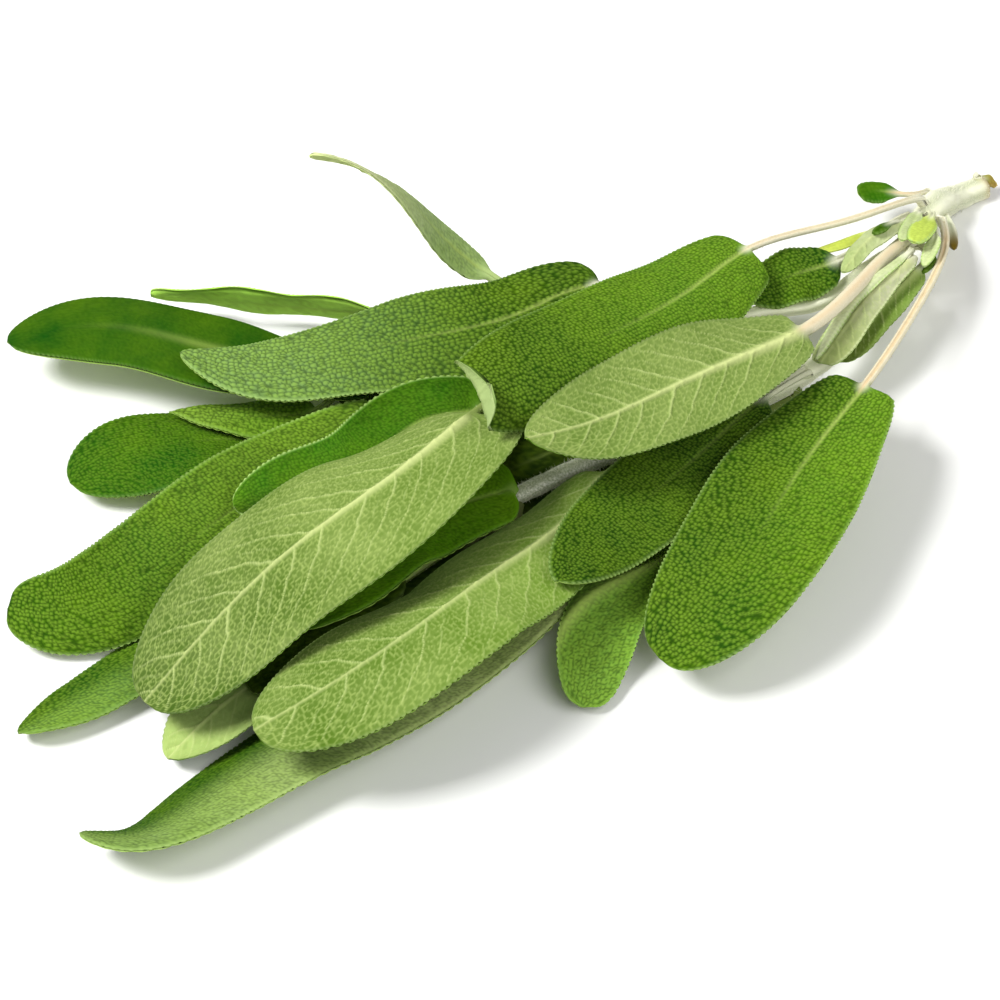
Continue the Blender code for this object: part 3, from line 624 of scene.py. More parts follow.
# %% [markdown]
# ## The relief of a blade
# Sage leaves look quilted. From above the cushions stand up as pebbles with sunken veins between
# them, from below it is the veins that stand out. A bump map would only paint that in shades, so the
# points are moved: one sum of heights for the upper face and one for the underside. The same waves
# and nets give the marks that the materials turn into colour, so colour and shape always agree.

# %% The relief of a blade
NET_PITCH = 0.98             # pitch of the net on the underside
VEIN_WIDTH = 0.16
VEINS_BEGIN = 4              # the side veins fade in over this length from the blade's base
CUSHION_REACH = 0.62         # a cushion's foot, the valley beside it and the thread of the net below:
VALLEY_WIDTH = 0.26          # all in pitches of the net
THREAD_WIDTH = 0.16
VALLEY_DEPTH = 0.05
QUILT_DEPTH = 0.10           # the upper face sinks this far along the side veins
GROOVE_DEPTH = 0.22          # and this far along the midrib
RIB_DEPTH = 0.7              # the midrib stands this far out of the underside at the leaf's base
OPENING = 3.5                # length over which the round stalk opens out into the blade


def crease_marks(look, along, across):
    """Where the ridge of a creased blade runs, which gets a painted highlight, and which points lie beyond
    it, in painted shadow.
    """
    from_ridge = across - 2 * (along - 0.2)
    there = float(look.crease > 0)
    return there * np.exp(-(from_ridge / 0.2) ** 2), there * smoothstep(from_ridge / 0.3)


def blade_relief(leaf, look, along, across, from_base, half, rim, blade_length, seed):
    """Heights of the upper face and the underside over the plain blade, and the marks of both."""
    zero = 0 * across * along
    where = (from_base + zero, across * half + zero, half + zero)
    number, spacing = vein_number(*where, blade_length, look.pairs, seed)
    reach = abs(across) + zero
    fade = (1 - 0.65 * reach ** 3) * smoothstep(from_base / VEINS_BEGIN)
    width = VEIN_WIDTH * (1.2 - 0.7 * reach)
    lateral = vein_line(number, spacing, width) * fade
    minor = vein_line(2 * number + 1, spacing / 2, 0.6 * width) * fade * smoothstep(3 * reach)
    quilt = 1 - 2 * abs(number - np.round(number))
    midrib = np.exp(-(where[1] / (0.26 + 0.8 * (1 - along) ** 2.2)) ** 2)
    groove = np.exp(-(where[1] / (0.18 + 0.25 * (1 - along))) ** 2)
    clear = (1 - rim) * smoothstep(from_base / OPENING)
    calm = look.pebble * clear
    clear = min(look.pebble, 1) * clear

    centre, border, own = net(*where, look.cushion, seed)
    valley = np.exp(-(border / VALLEY_WIDTH) ** 2)
    cushion = np.clip(1 - (centre / CUSHION_REACH) ** 2, 0, 1)
    dome = look.cushion * (0.06 + 0.09 * own) * cushion - VALLEY_DEPTH * valley
    upper = calm * (dome - QUILT_DEPTH * quilt - 0.08 * lateral)
    upper = upper - GROOVE_DEPTH * groove * (1 - 0.7 * along)
    crest, beyond = crease_marks(look, along, across)
    pale = np.exp(-(where[1] / look.broad / (0.18 + 0.25 * (1 - along))) ** 2)
    streak = pale * look.streak * (1 - smoothstep((along - 0.1) / (look.reach - 0.1)))
    # painted highlight along a crease's ridge; beyond it painted shadow, with less pale cushions too
    streak = np.maximum(streak, 0.5 * crest) * (1 - 0.6 * beyond)
    upper_marks = (streak, valley * clear, cushion * clear * look.hair * (1 - 0.7 * beyond), own)

    centre, border, own = net(*where, NET_PITCH, seed + 1)
    thread = np.exp(-(border / THREAD_WIDTH) ** 2)
    lower = calm * (0.08 * thread + 0.06 * quilt) + 0.20 * lateral * (1 - rim) + 0.07 * minor
    lower = lower + (0.12 + RIB_DEPTH * (1 - along) ** 1.3) * midrib
    vein = np.maximum(0.8 * lateral, 0.45 * minor) * (1 - rim)
    rib = midrib * look.streak * (1 - 0.7 * along)
    lower_marks = (np.maximum(vein, rib), thread * clear, own, rib)
    return upper, upper_marks, lower, lower_marks


cushions = [look.cushion for look in LOOKS.values()]
print("cushions are", min(cushions), "to", max(cushions), "mm wide")

# %% [markdown]
# ## A folded end
# The broad leaf on top ends in a flap that is folded up, so that its pale underside shows. Cutting
# the blade and turning the end as a second piece would leave a seam. Instead the skin runs round a
# small cylinder: what lies beyond the fold first turns with it, then goes straight on.

# %% A folded end
FOLD_RADIUS = 0.35
FOLD_ANGLE = math.radians(105)
FOLD_SLANT = 0.12            # the fold runs slantwise across the blade
FOLD_LENGTHENING = (1.25, -0.13)   # the flap is longer at one side of the blade


def folded_end(depth, out, from_tip):
    """How far points that lie beyond the fold move forward and up, and how far the skin turns."""
    beyond = np.clip(depth + FOLD_SLANT * out - from_tip, 0, None) if depth else 0 * out * from_tip
    flap = beyond * (FOLD_LENGTHENING[0] + FOLD_LENGTHENING[1] * out)
    turn = np.clip(flap / FOLD_RADIUS, 0, FOLD_ANGLE)
    straight = flap - FOLD_RADIUS * turn
    forward = FOLD_RADIUS * np.sin(turn) + straight * np.cos(turn) - beyond
    lift = FOLD_RADIUS * (1 - np.cos(turn)) + straight * np.sin(turn)
    return forward, lift, turn


print("the fold turns up by", round(math.degrees(FOLD_ANGLE)), "degrees")

# %% [markdown]
# ## Two sheets, one leaf
# The face of a leaf that is turned to the sky needs fine points for its cushions and veins. The face
# below it is hardly seen, so its sheet has half as many points each way, which saves three quarters
# of its faces. Where the sheets meet, five-sided faces join two fine steps to one coarse one.

# %% Two sheets, one leaf
def joined_sheets(fine, coarse, fine_is_upper):
    """Faces of two sheets joined round their edges. The coarse one has half as many points each way."""
    rows, columns = fine
    few_rows, few_columns = coarse
    start = rows * columns
    numbers = np.arange(start).reshape(rows, columns)
    few = start + np.arange(few_rows * few_columns).reshape(few_rows, few_columns)
    faces = grid_faces(rows, columns, 0, turned=fine_is_upper).tolist()
    which = [0 if fine_is_upper else 1] * len(faces)
    others = grid_faces(few_rows, few_columns, start, turned=not fine_is_upper).tolist()
    faces += others
    which += [1 if fine_is_upper else 0] * len(others)
    edges = ((numbers[:, 0], few[:, 0], True), (numbers[:, -1], few[:, -1], False),
             (numbers[0], few[0], False), (numbers[-1], few[-1], True))
    for edge, other, turned in edges:
        wall = np.stack([edge[:-2:2], edge[1:-1:2], edge[2::2], other[1:], other[:-1]], axis=1)
        if turned == fine_is_upper:
            wall = wall[:, ::-1]
        faces += wall.tolist()
        which += [0] * len(wall)
    return faces, which


print("faces of a small leaf:", len(joined_sheets((5, 5), (3, 3), True)[0]))

# %% [markdown]
# ## Across one leaf
# Every row of points across a leaf starts out flat. The margin gets small round teeth and a rim that
# rolls under a little, each half is bent to an arc by the plan's curl, and slow waves run along both
# edges. A subdivided plane with modifiers could do it too, but formulas keep every number in view.

# %% Across one leaf
STALK_PITCH = 1.0            # a stalk has a row of points every millimetre
TOOTH_PITCH = 0.9
TOOTH_DEPTH = 0.34
FULL_TEETH_WIDTH = 14        # narrower leaves have smaller teeth
RIM = 0.8                    # width of the strip along the margin that rolls under
RIM_DROP = 0.20
WAVES = 2.5                  # slow waves along the edges of a blade


def blade_frame(leaf, look):
    """Rows along the leaf's line, with the directions its face and its sides look in."""
    line, stalk, axis_point = leaf_line(leaf)
    total = lengths_along(line)[-1]
    rows_on_blade = 2 * round((total - stalk) / look.grid / 2)
    rows_on_stalk = 2 * round(stalk / STALK_PITCH / 2)
    on_stalk = np.linspace(0, stalk, rows_on_stalk, endpoint=False)
    distances = np.concatenate([on_stalk, np.linspace(stalk, total, rows_on_blade + 1)])
    along = np.clip((distances - stalk) / (total - stalk), 0, 1)
    roll = leaf.roll + np.interp(along, (0, 0.5, 1), (leaf.twist[0], 0, leaf.twist[1]))
    path = resample(line, distances)
    faces, sideways = carried_frames(path, int(np.argmin(abs(along - 0.5))), roll)
    return path, faces, sideways, distances[:, None], stalk, total - stalk, along[:, None], axis_point


def margin(leaf, along, across, distances, half, blade_share):
    """How far points are into the rolled rim and out on a tooth, and how far out they lie in mm."""
    rim = smoothstep(1 - (1 - abs(across)) * half / RIM) * blade_share
    phase = math.pi * (distances / TOOTH_PITCH + 0.31 * np.sign(across))
    tooth = abs(np.sin(phase))
    tooth_depth = TOOTH_DEPTH * min(1, leaf.width / FULL_TEETH_WIDTH)
    teeth = tooth_depth * (tooth - 0.6) * rim * smoothstep((1 - along) * 12)
    return rim, tooth, across * half + np.sign(across) * teeth


def curled(leaf, look, along, across, half, rim, out_mm):
    """Where the middle of a curled blade's skin lies, sideways and up from its midrib."""
    left = np.radians(np.interp(along, (0, 1), leaf.curl[:2]))
    right = np.radians(np.interp(along, (0, 1), leaf.curl[2:]))
    bend = np.where(across < 0, left, right)
    bend = np.where(abs(bend) < 1e-3, 1e-3, bend)
    share = abs(out_mm) / half
    out = np.sin(bend * share) / bend * half * np.sign(across)
    waves = leaf.wave * across ** 2 * np.sin(2 * math.pi * (WAVES * along + 0.2 * across))
    rise = (1 - np.cos(bend * share)) / bend * half + waves - RIM_DROP * rim ** 2
    crest, beyond = crease_marks(look, along, across)
    return out, rise + look.crease * crest * np.sin(math.pi * along), beyond


print("teeth along the first leaf's edge:", round(lengths_along(example_line)[-1] / TOOTH_PITCH))

# %% [markdown]
# ## The colours of one leaf
# The skin's colour changes slowly over a leaf: towards the tip, towards one edge, and beyond a crease, where
# it is darkened as painted shadow.
# Painting it by hand would need a picture for each leaf. The same numbers that place a point can
# also colour it, so the colour is worked out point by point and stored in the mesh.

# %% The colours of one leaf
def skin_colours(look, colour, in_sight, along, across, beyond):
    """The colour of every point of a face, from the face's own colour."""
    everywhere = 0 * across * along
    tip = linear(look.tip if look.tip and in_sight else colour)
    to_tip = (smoothstep(along * 1.4 - 0.3) + everywhere)[..., None]
    skin = np.array(linear(colour)) * (1 - to_tip) + np.array(tip) * to_tip
    to_side = smoothstep((across + 0.5) / 1.1)[..., None] * float(bool(look.side))
    skin = skin * (1 - to_side) + np.array(linear(look.side or colour)) * to_side
    # painted shadow: darker beyond a crease
    return skin * (1 - 0.6 * beyond[..., None])


def places(leaf, look, rim, tooth, out, from_base, distances, blade_share):
    """What else the materials need: where the rim is pale, where the stalk is, and how bare it is."""
    stalk_share = np.exp(-(out / (1.4 * leaf.stalk_radius)) ** 2)
    stalk_share = np.where(from_base < 0, 1, stalk_share) * (1 - blade_share)
    middle = 0.3 + 0.7 * np.exp(-(out / (0.6 * leaf.stalk_radius)) ** 2)
    bare = min(look.bare, 0.5) + max(look.bare - 0.5, 0) * smoothstep(distances / 10) * middle
    pale_rim = rim * (0.3 + 0.7 * tooth) * look.edge
    return np.stack([pale_rim, stalk_share, bare + 0 * rim, 0 * rim], axis=-1)   # a colour has four parts


print("the first leaf turns from", LOOKS["leaf_broad_top"].upper, "to", LOOKS["leaf_broad_top"].tip)

# %% [markdown]
# ## Both faces of one leaf
# Now the rows of points are set along the leaf's line. On the stalk they form a grooved rod, on the
# blade two thin sheets. A rod could be stuck to a sheet, but on a sage leaf there is no seam: the
# stalk opens out into its blade over a few millimetres, so the one fades into the other. Beside the
# stalk the blade's base reaches back in two small lobes. Real blades are thinner than the solids,
# so the skin lies a little inside them.

# %% Both faces of one leaf
HALF_THICKNESS = 0.24        # in the middle of the blade,
RIM_HALF_THICKNESS = 0.12    # and at its rim
TIP_HALF = 0.3               # half the width of the blunt end of a tip
LOBE = 0.11                  # how far the blade's base reaches back beside the stalk, of its width
LOBE_LENGTH = 0.60           # and how much of the blade that draws back, in widths
STALK_GROOVE = 0.55          # depth of the furrow along the top of a stalk, in radii
REACH_IN = 0.6               # how far a stalk reaches from its foot towards the middle of its shoot


def surfaces(leaf, look, seed):
    """The points of both faces of a leaf, from its upper side, and the values of its skin."""
    path, faces, sideways, distances, stalk, blade_length, along, axis_point = blade_frame(leaf, look)
    columns = 4 * round(leaf.width / look.grid / 4) + 1
    across = np.linspace(-1, 1, columns)[None, :]
    half = np.maximum(outline(leaf, along), np.where(along < 0.5, leaf.stalk_radius, TIP_HALF))
    from_base = distances - stalk
    blade_share = smoothstep(from_base / OPENING) + 0 * across
    rim, tooth, out_mm = margin(leaf, along, across, distances, half, blade_share)
    out, rise, beyond = curled(leaf, look, along, across, half, rim, out_mm)
    thick = HALF_THICKNESS + (RIM_HALF_THICKNESS - HALF_THICKNESS) * rim
    upper, upper_marks, lower, lower_marks = blade_relief(
        leaf, look, along, across, from_base, half, rim, blade_length, seed)

    angle = np.linspace(math.radians(175), math.radians(5), columns)[None, :]
    rod = leaf.stalk_radius * (1 + 0.5 * np.exp(-distances / 1.5))
    rod_top = rod * (np.sin(angle) - STALK_GROOVE * np.exp(-(np.cos(angle) / 0.38) ** 2))
    out = out * blade_share + rod * np.cos(angle) * (1 - blade_share)
    top = (rise + thick + upper) * blade_share + rod_top * (1 - blade_share)
    bottom = (rise - thick - lower) * blade_share - rod * np.sin(angle) * (1 - blade_share)
    lobes = 1 - smoothstep(from_base / (LOBE_LENGTH * leaf.width))
    back = LOBE * leaf.width * np.sin(math.pi * np.clip(2 * abs(out) / leaf.width, 0, 1)) * lobes

    tangents = np.cross(faces, sideways)[:, None]
    forward, lift, turn = folded_end(look.fold, out, blade_length - from_base)
    normals = faces[:, None] * np.cos(turn)[..., None] - tangents * np.sin(turn)[..., None]
    base = path[:, None] + sideways[:, None] * out[..., None] + tangents * (forward - back)[..., None]
    base = base + faces[:, None] * lift[..., None]
    top = base + normals * top[..., None]
    bottom = base + normals * bottom[..., None]
    pressed = np.maximum(ABOVE_TABLE - bottom[..., 2], 0)
    for points in (top, bottom):
        points[..., 2] += pressed
        points[0] += (axis_point - path[0]) * REACH_IN

    place = places(leaf, look, rim, tooth, out, from_base, distances, blade_share)
    unfolded = blade_share * (1 - 0.85 * turn / FOLD_ANGLE)
    facing_up = math.cos(math.radians(leaf.roll)) > 0
    sheets = []
    for is_upper, points, marks in ((True, top, upper_marks), (False, bottom, lower_marks)):
        marks = np.stack([mark * unfolded for mark in marks], axis=-1)
        colour = look.upper if is_upper else look.under
        in_sight = is_upper == facing_up
        sheets.append((points, marks, place, skin_colours(look, colour, in_sight, along, across, beyond)))
    return sheets, facing_up, path[from_base[:, 0] < 0]


print("a blade is", 2 * HALF_THICKNESS, "mm thick in the middle and", 2 * RIM_HALF_THICKNESS, "at its rim")

# %% [markdown]
# ## One leaf as a mesh
# The two sheets, the faces that join them and the wool of the stalk become one mesh. Three objects
# for each leaf would work too, but what grew as one piece is easier to move and to replace as one.

# %% One leaf as a mesh
STALK_WOOL = (12, 0.28)      # hairs on each mm of stalk, and their length
BARE_HAIRS = 0.4             # hairs are at least this pale, even on a green stalk


def make_leaf(leaf, look, seed):
    """One leaf as a mesh, the finer sheet on the face that is turned to the sky."""
    sheets, facing_up, stalk_path = surfaces(leaf, look, seed)
    if not facing_up:
        sheets = sheets[::-1]
    sheets[1] = tuple(values[::2, ::2] for values in sheets[1])
    face_list, which = joined_sheets(sheets[0][0].shape[:2], sheets[1][0].shape[:2], facing_up)
    flat = [np.concatenate([sheet[i].reshape(-1, sheet[i].shape[-1]) for sheet in sheets]) for i in range(4)]
    hairs, hair_faces = wool(stalk_path, np.full(len(stalk_path), leaf.stalk_radius), *STALK_WOOL, seed)
    face_list += (hair_faces + len(flat[0])).tolist()
    which += [1] * len(hair_faces)
    on_hairs = (hairs, (0, 0, 0, 0), (0, 1, max(look.bare, BARE_HAIRS), 0), linear(look.under))
    for i, values in enumerate(on_hairs):
        flat[i] = np.concatenate([flat[i], np.broadcast_to(values, (len(hairs), flat[i].shape[1]))])
    attributes = {"marks": flat[1], "place": flat[2], "skin": flat[3]}
    name = leaf.name.replace("leaf_", "sage_").replace("little_", "sage_little_")
    return new_mesh(name, flat[0], face_list, (UPPER_FACE, UNDERSIDE), attributes, which)


print("hairs on 10 mm of stalk:", 10 * STALK_WOOL[0])

# %% [markdown]
# ## Nodes, one line each
# A material is a small graph of nodes: some read a value or make noise, some mix two colours, and
# the last one, the shader, says how light meets the skin. Made with the mouse they can't be read as
# a lesson, so one small function adds any node, with its settings and its links.

# %% Nodes, one line each
def add(tree, kind, inputs=None, **settings):
    """Adds one node. Inputs are values, or output sockets to link from."""
    item = tree.nodes.new(kind)
    for key, value in settings.items():
        setattr(item, key, value)
    for key, value in (inputs or {}).items():
        if isinstance(value, bpy.types.NodeSocket):
            tree.links.new(value, item.inputs[key])
        else:
            item.inputs[key].default_value = value
    return item


def start(name, roughness, gloss, sheen, tint):
    """A new material, with its tree and its shader."""
    material = bpy.data.materials.new(name)
    material.use_nodes = True
    tree = material.node_tree
    shader = tree.nodes["Principled BSDF"]
    shader.inputs["Roughness"].default_value = roughness
    shader.inputs["Specular IOR Level"].default_value = gloss
    shader.inputs["Sheen Weight"].default_value = sheen
    shader.inputs["Sheen Roughness"].default_value = 0.45
    shader.inputs["Sheen Tint"].default_value = linear(tint)
    print("material:", name)
    return material, tree, shader


print("a material starts as roughness, gloss, sheen and the tint of the sheen")

# %% [markdown]
# ## Coats of colour
# A leaf's colour is like coats of paint that lie on one another, each in its own places: pale hairs
# and a painted highlight on the cushions, painted shade in the valleys, white along the veins. A ramp
# could turn one value into colours, but here many values each bring a colour. So a finish is written
# as a list of coats.

# %% Coats of colour
def coated(tree, colour, *coats):
    """Lays coats over a colour in turn. A coat is where it lies, how dense it is, and its colour."""
    for where, density, coat in coats:
        share = add(tree, "ShaderNodeMath", {0: where, 1: density}, operation="MULTIPLY", use_clamp=True)
        under, over = (linear(c) if isinstance(c, str) else c for c in (colour, coat))
        both = {0: share.outputs[0], 6: under, 7: over}
        colour = add(tree, "ShaderNodeMix", both, data_type="RGBA").outputs[2]
    return colour


print("a coat takes two nodes: one for its share, one that mixes it in")

# %% [markdown]
# ## What the leaf materials read
# The pattern of the skin comes from the values stored in the mesh: vein, net, rim and stalk mix the
# pale and the dark greens. On a real leaf the down also lies thicker here and thinner there, in
# patches of about a centimetre, and its hairs are about 0.3 mm long. Two noises give both, with
# their scales worked out from those sizes, in the leaf's own coordinates.

# %% What the leaf materials read
PATCH_SCALE = 90.0           # 1 m / 11 mm
DOWN_SCALE = 3500.0          # 1 m / 0.29 mm


def leaf_values(tree, marks):
    """The values that every leaf carries: sockets by name."""
    values = {"skin": add(tree, "ShaderNodeAttribute", attribute_name="skin").outputs["Color"]}
    for label, names in (("marks", marks), ("place", ("rim", "stalk", "bare"))):
        attribute = add(tree, "ShaderNodeAttribute", attribute_name=label)
        split = add(tree, "ShaderNodeSeparateColor", {0: attribute.outputs["Color"]})
        for key, socket in zip(names, (*split.outputs, attribute.outputs["Alpha"])):
            values[key] = socket
    beads = {0: values["rim"], 1: values["rim"]}
    beads = add(tree, "ShaderNodeMath", beads, operation="MULTIPLY", use_clamp=True)
    place = add(tree, "ShaderNodeTexCoord").outputs["Object"]
    noise = add(tree, "ShaderNodeTexNoise", {"Vector": place, "Scale": PATCH_SCALE, "Detail": 3.0})
    hairs = add(tree, "ShaderNodeTexNoise", {"Vector": place, "Scale": DOWN_SCALE, "Detail": 2.0})
    patches = add(tree, "ShaderNodeMapRange", {0: noise.outputs[0], 1: 0.3, 2: 0.7})
    values.update(beads=beads.outputs[0], noise=noise.outputs[0], hairs=hairs.outputs[0],
                  patches=patches.outputs[0])
    return values


print("patches of", round(1000 / PATCH_SCALE), "mm, hairs of", round(1000 / DOWN_SCALE, 2), "mm")

# %% [markdown]
# ## Stalk skin and down
# A stalk is green where it is shaded, white with wool further up, and rubbed bare and pink-brown
# near the node. Three materials would meet in hard lines on one stalk, so one value runs from green
# through woolly to bare. The down itself is too fine for the mesh and is a bump a tenth of a
# millimetre high.

# %% Stalk skin and down
def stalk_colour(tree, v):
    """Green where it is shaded, then woolly and pale, and pink-brown where it is bare."""
    woolly = add(tree, "ShaderNodeMapRange", {0: v["bare"], 1: 0.0, 2: 0.5}).outputs[0]
    bare = add(tree, "ShaderNodeMapRange", {0: v["bare"], 1: 0.5, 2: 1.0}).outputs[0]
    return coated(
        tree, v["skin"],
        (1.0, 0.35, "#B4C074"),
        (woolly, 1.0, coated(tree, "#D4D4B0", (v["hairs"], 1.0, "#FCFAE8"))),
        (bare, 1.0, coated(tree, "#C8A070", (v["noise"], 1.0, "#E6D4A8"))))


def finish_skin(tree, shader, colour, hairs, strength):
    """Links the colour, and a bump of a tenth of a millimetre for the down."""
    bump = add(tree, "ShaderNodeBump", {"Strength": strength, "Distance": 0.0001, "Height": hairs})
    tree.links.new(colour, shader.inputs["Base Color"])
    tree.links.new(bump.outputs[0], shader.inputs["Normal"])


print("the finish of stalks and the down are ready")

# %% [markdown]
# ## Sage leaf, velvety upper face
# Living leaf tissue under a film of wax and short hairs. Plant cells have an IOR of about 1.4 to 1.5
# and are no metal, so the shader's own IOR of 1.5 stays. The hairs break up the gloss: it is matt,
# with a high roughness and little specular light, and greyer than the green beneath. A picture could
# be laid over every leaf, but its veins would not run where these do. So the stored values say where
# each coat lies.

# %% Sage leaf, velvety upper face
def make_upper_face():
    """Green skin, paler on the cushions, dark in the valleys, pale along the midrib and the margin."""
    material, tree, shader = start("sage leaf, velvety upper face", 0.8, 0.08, 0.01, "#B8D470")
    v = leaf_values(tree, ("streak", "valley", "cushion", "own"))
    colour = coated(
        tree, v["skin"],
        (v["patches"], 0.225, "#8CB010"),    # thinner down lets the yellower green through
        (v["cushion"], 0.42, "#8CB038"),     # pale hairs, and a painted highlight on each cushion's top
        (v["own"], 0.12, "#2C5006"),         # every cushion has a green of its own
        (v["valley"], 0.62, "#0E2800"),      # little light gets in between them
        (v["streak"], 1.2, "#AEC264"),       # the pale midrib; on the far left leaf a broad painted sheen, on a crease's ridge a painted highlight
        (v["beads"], 0.85, "#AAC674"),       # the teeth along the margin
        (v["stalk"], 1.0, stalk_colour(tree, v)))
    finish_skin(tree, shader, colour, v["hairs"], 0.25)
    return material


UPPER_FACE = make_upper_face()

# %% [markdown]
# ## Sage leaf, felted underside
# Below, the hairs are longer and closer: a white felt over green. Modelled one by one they would be
# far too many, so the finish stands for them. It is even rougher, and shines a little at grazing
# angles, where one looks through many hairs at once; the shader calls that sheen. Veins and midrib
# stand out and carry the most hair, so they are the palest.

# %% Sage leaf, felted underside
def make_underside():
    """Pale green felt, with paler threads, veins and midrib."""
    material, tree, shader = start("sage leaf, felted underside", 0.85, 0.12, 0.05, "#D8E4A0")
    v = leaf_values(tree, ("vein", "thread", "own", "rib"))
    colour = coated(
        tree, v["skin"],
        (v["patches"], 0.21, "#B8C878"),     # thicker felt
        (v["own"], 0.25, "#4A6C10"),         # every mesh of the net has a green of its own
        (v["thread"], 0.5, "#A2B464"),
        (v["vein"], 0.75, "#BFCD84"),
        (v["rib"], 0.7, "#DCE29C"),
        (v["beads"], 0.6, "#C2CE98"),
        (v["stalk"], 1.0, stalk_colour(tree, v)))
    finish_skin(tree, shader, colour, v["hairs"], 0.3)
    return material


UNDERSIDE = make_underside()

# %% [markdown]
# ## Sage stem, woolly skin
# The young stem is white with wool. The longest hairs are modelled with the stem; this finish is the
# felt between them, in tufts of about 4 mm with hairs of a third of a millimetre. Plant hair has an
# IOR of about 1.5, is no metal, and is as matt as a surface gets, so it has a high roughness and a
# strong sheen. One plain white would look like plaster, so noise breaks it up, and the furrows, the
# cut end and the dead stub have colours of their own. Further along, the front shoot is greyer, and
# its far end, which lies in shade between the leaves, is painted near-black green: painted shade.

# %% Sage stem, woolly skin
TUFT_SCALE = 250.0           # 1 m / 4 mm
FELT_SCALE = 3000.0          # 1 m / 0.33 mm


def make_stem_skin():
    """White wool, greyer further along and painted near-black green where the far end lies in shade, green
    in the furrows, brown where it is cut or dead.
    """
    material, tree, shader = start("sage stem, woolly skin", 0.9, 0.15, 0.5, "#FFFFF0")
    place = add(tree, "ShaderNodeTexCoord").outputs["Object"]
    tufts = add(tree, "ShaderNodeTexNoise", {"Vector": place, "Scale": TUFT_SCALE, "Detail": 3.0}).outputs[0]
    hairs = add(tree, "ShaderNodeTexNoise", {"Vector": place, "Scale": FELT_SCALE, "Detail": 2.0}).outputs[0]
    form = add(tree, "ShaderNodeAttribute", attribute_name="form")
    furrow, cut, dead = add(tree, "ShaderNodeSeparateColor", {0: form.outputs["Color"]}).outputs
    greying = form.outputs["Alpha"]
    shaded = add(tree, "ShaderNodeMapRange", {0: greying, 1: 1.0, 2: 2.0}).outputs[0]
    strands = add(tree, "ShaderNodeMapRange", {0: hairs, 1: 0.3, 2: 0.7}).outputs[0]
    colour = coated(
        tree, "#DCE0B4",
        (tufts, 1.0, "#FAFAE0"),
        (hairs, 0.5, "#FFFFF2"),
        (greying, 1.0, coated(tree, "#A4AC84", (strands, 1.0, "#FFFFF0"))),
        # painted shade: near-black green where the front shoot runs into the dark between the leaves
        (shaded, 1.0, "#142402"),
        (furrow, 1.0, "#A2AC80"),
        (cut, 1.0, "#B9A46C"),
        (dead, 1.0, "#6E5A10"))
    finish_skin(tree, shader, colour, hairs, 0.4)
    return material


STEM_SKIN = make_stem_skin()

# %% [markdown]
# ## The stem
# Sage belongs to the mint family, so its stem is square, with a shallow furrow along each side. One
# tube is swept along each shoot's line, with its section squared by a cosine. The cut end is darker
# and a little ragged, and the shoots run into each other at the node.

# %% The stem
STEM_SIDES = 24              # points in each ring round the stem
STEM_PITCH = 0.7             # and the distance between rings
FURROW = 0.07                # depth of the furrows, in radii
WOOL = {"front": (60, 0.9), "rear": (26, 0.45), "stub": (4, 0.2)}   # hairs on each mm, and their length
NODE_WOOL = (70, 1.1)        # the node is the woolliest place,
NODE_REACH = 8               # this far to both sides
GREYING_FROM = 78             # from here on the front shoot's wool is greyer
SHADED_FROM = 124            # beyond this the front shoot is thin, almost bare, and painted near-black green: painted shade between the leaves


def shoot_tube(name):
    """A shoot's points in rings, the values its colours need, its line, and its radius under the wool."""
    line = smooth_line(SHOOTS[name].route)
    total = lengths_along(line)[-1]
    distances = np.linspace(0, total, round(total / STEM_PITCH))
    path = resample(line, distances)
    faces, sideways = carried_frames(path, len(path) // 2, np.zeros(len(path)))
    radii = shoot_radius(name, distances, total)[:, None]
    angle = np.linspace(0, 2 * math.pi, STEM_SIDES, endpoint=False)[None, :]
    section = 1 + FURROW * np.cos(4 * (angle - math.pi / 4))
    random = np.random.default_rng(len(name))
    knobs = 0.03 * np.sin(distances[:, None] * 1.3 + 2 * angle) * random.uniform(0.5, 1.5)
    reach = radii * (section + knobs)
    end = np.clip((total - distances[:, None]) / 1.5, 0, 1) ** 0.5
    reach = reach * np.maximum(end, 0.05)
    points = (path[:, None] + sideways[:, None] * (reach * np.cos(angle))[..., None]
              + faces[:, None] * (reach * np.sin(angle))[..., None])
    points[..., 2] = np.maximum(points[..., 2], 0)
    furrow = np.broadcast_to(0.5 - 0.5 * np.cos(4 * (angle - math.pi / 4)), reach.shape)
    cut = np.exp(-distances[:, None] / 0.8) + 0 * reach
    dead = smoothstep(2 * distances[:, None] / total - 0.9) * (name == "stub") + 0 * reach
    far = smoothstep((distances[:, None] - GREYING_FROM) / 20)
    # past SHADED_FROM the value climbs above 1, which the stem skin turns into painted shade
    far = far + smoothstep((distances[:, None] - SHADED_FROM) / 4)
    far = far * (name == "front") + 0 * reach
    values = np.stack([furrow * 0.6, cut, dead, far], axis=-1)
    return points, values, path, reach.min(axis=1)


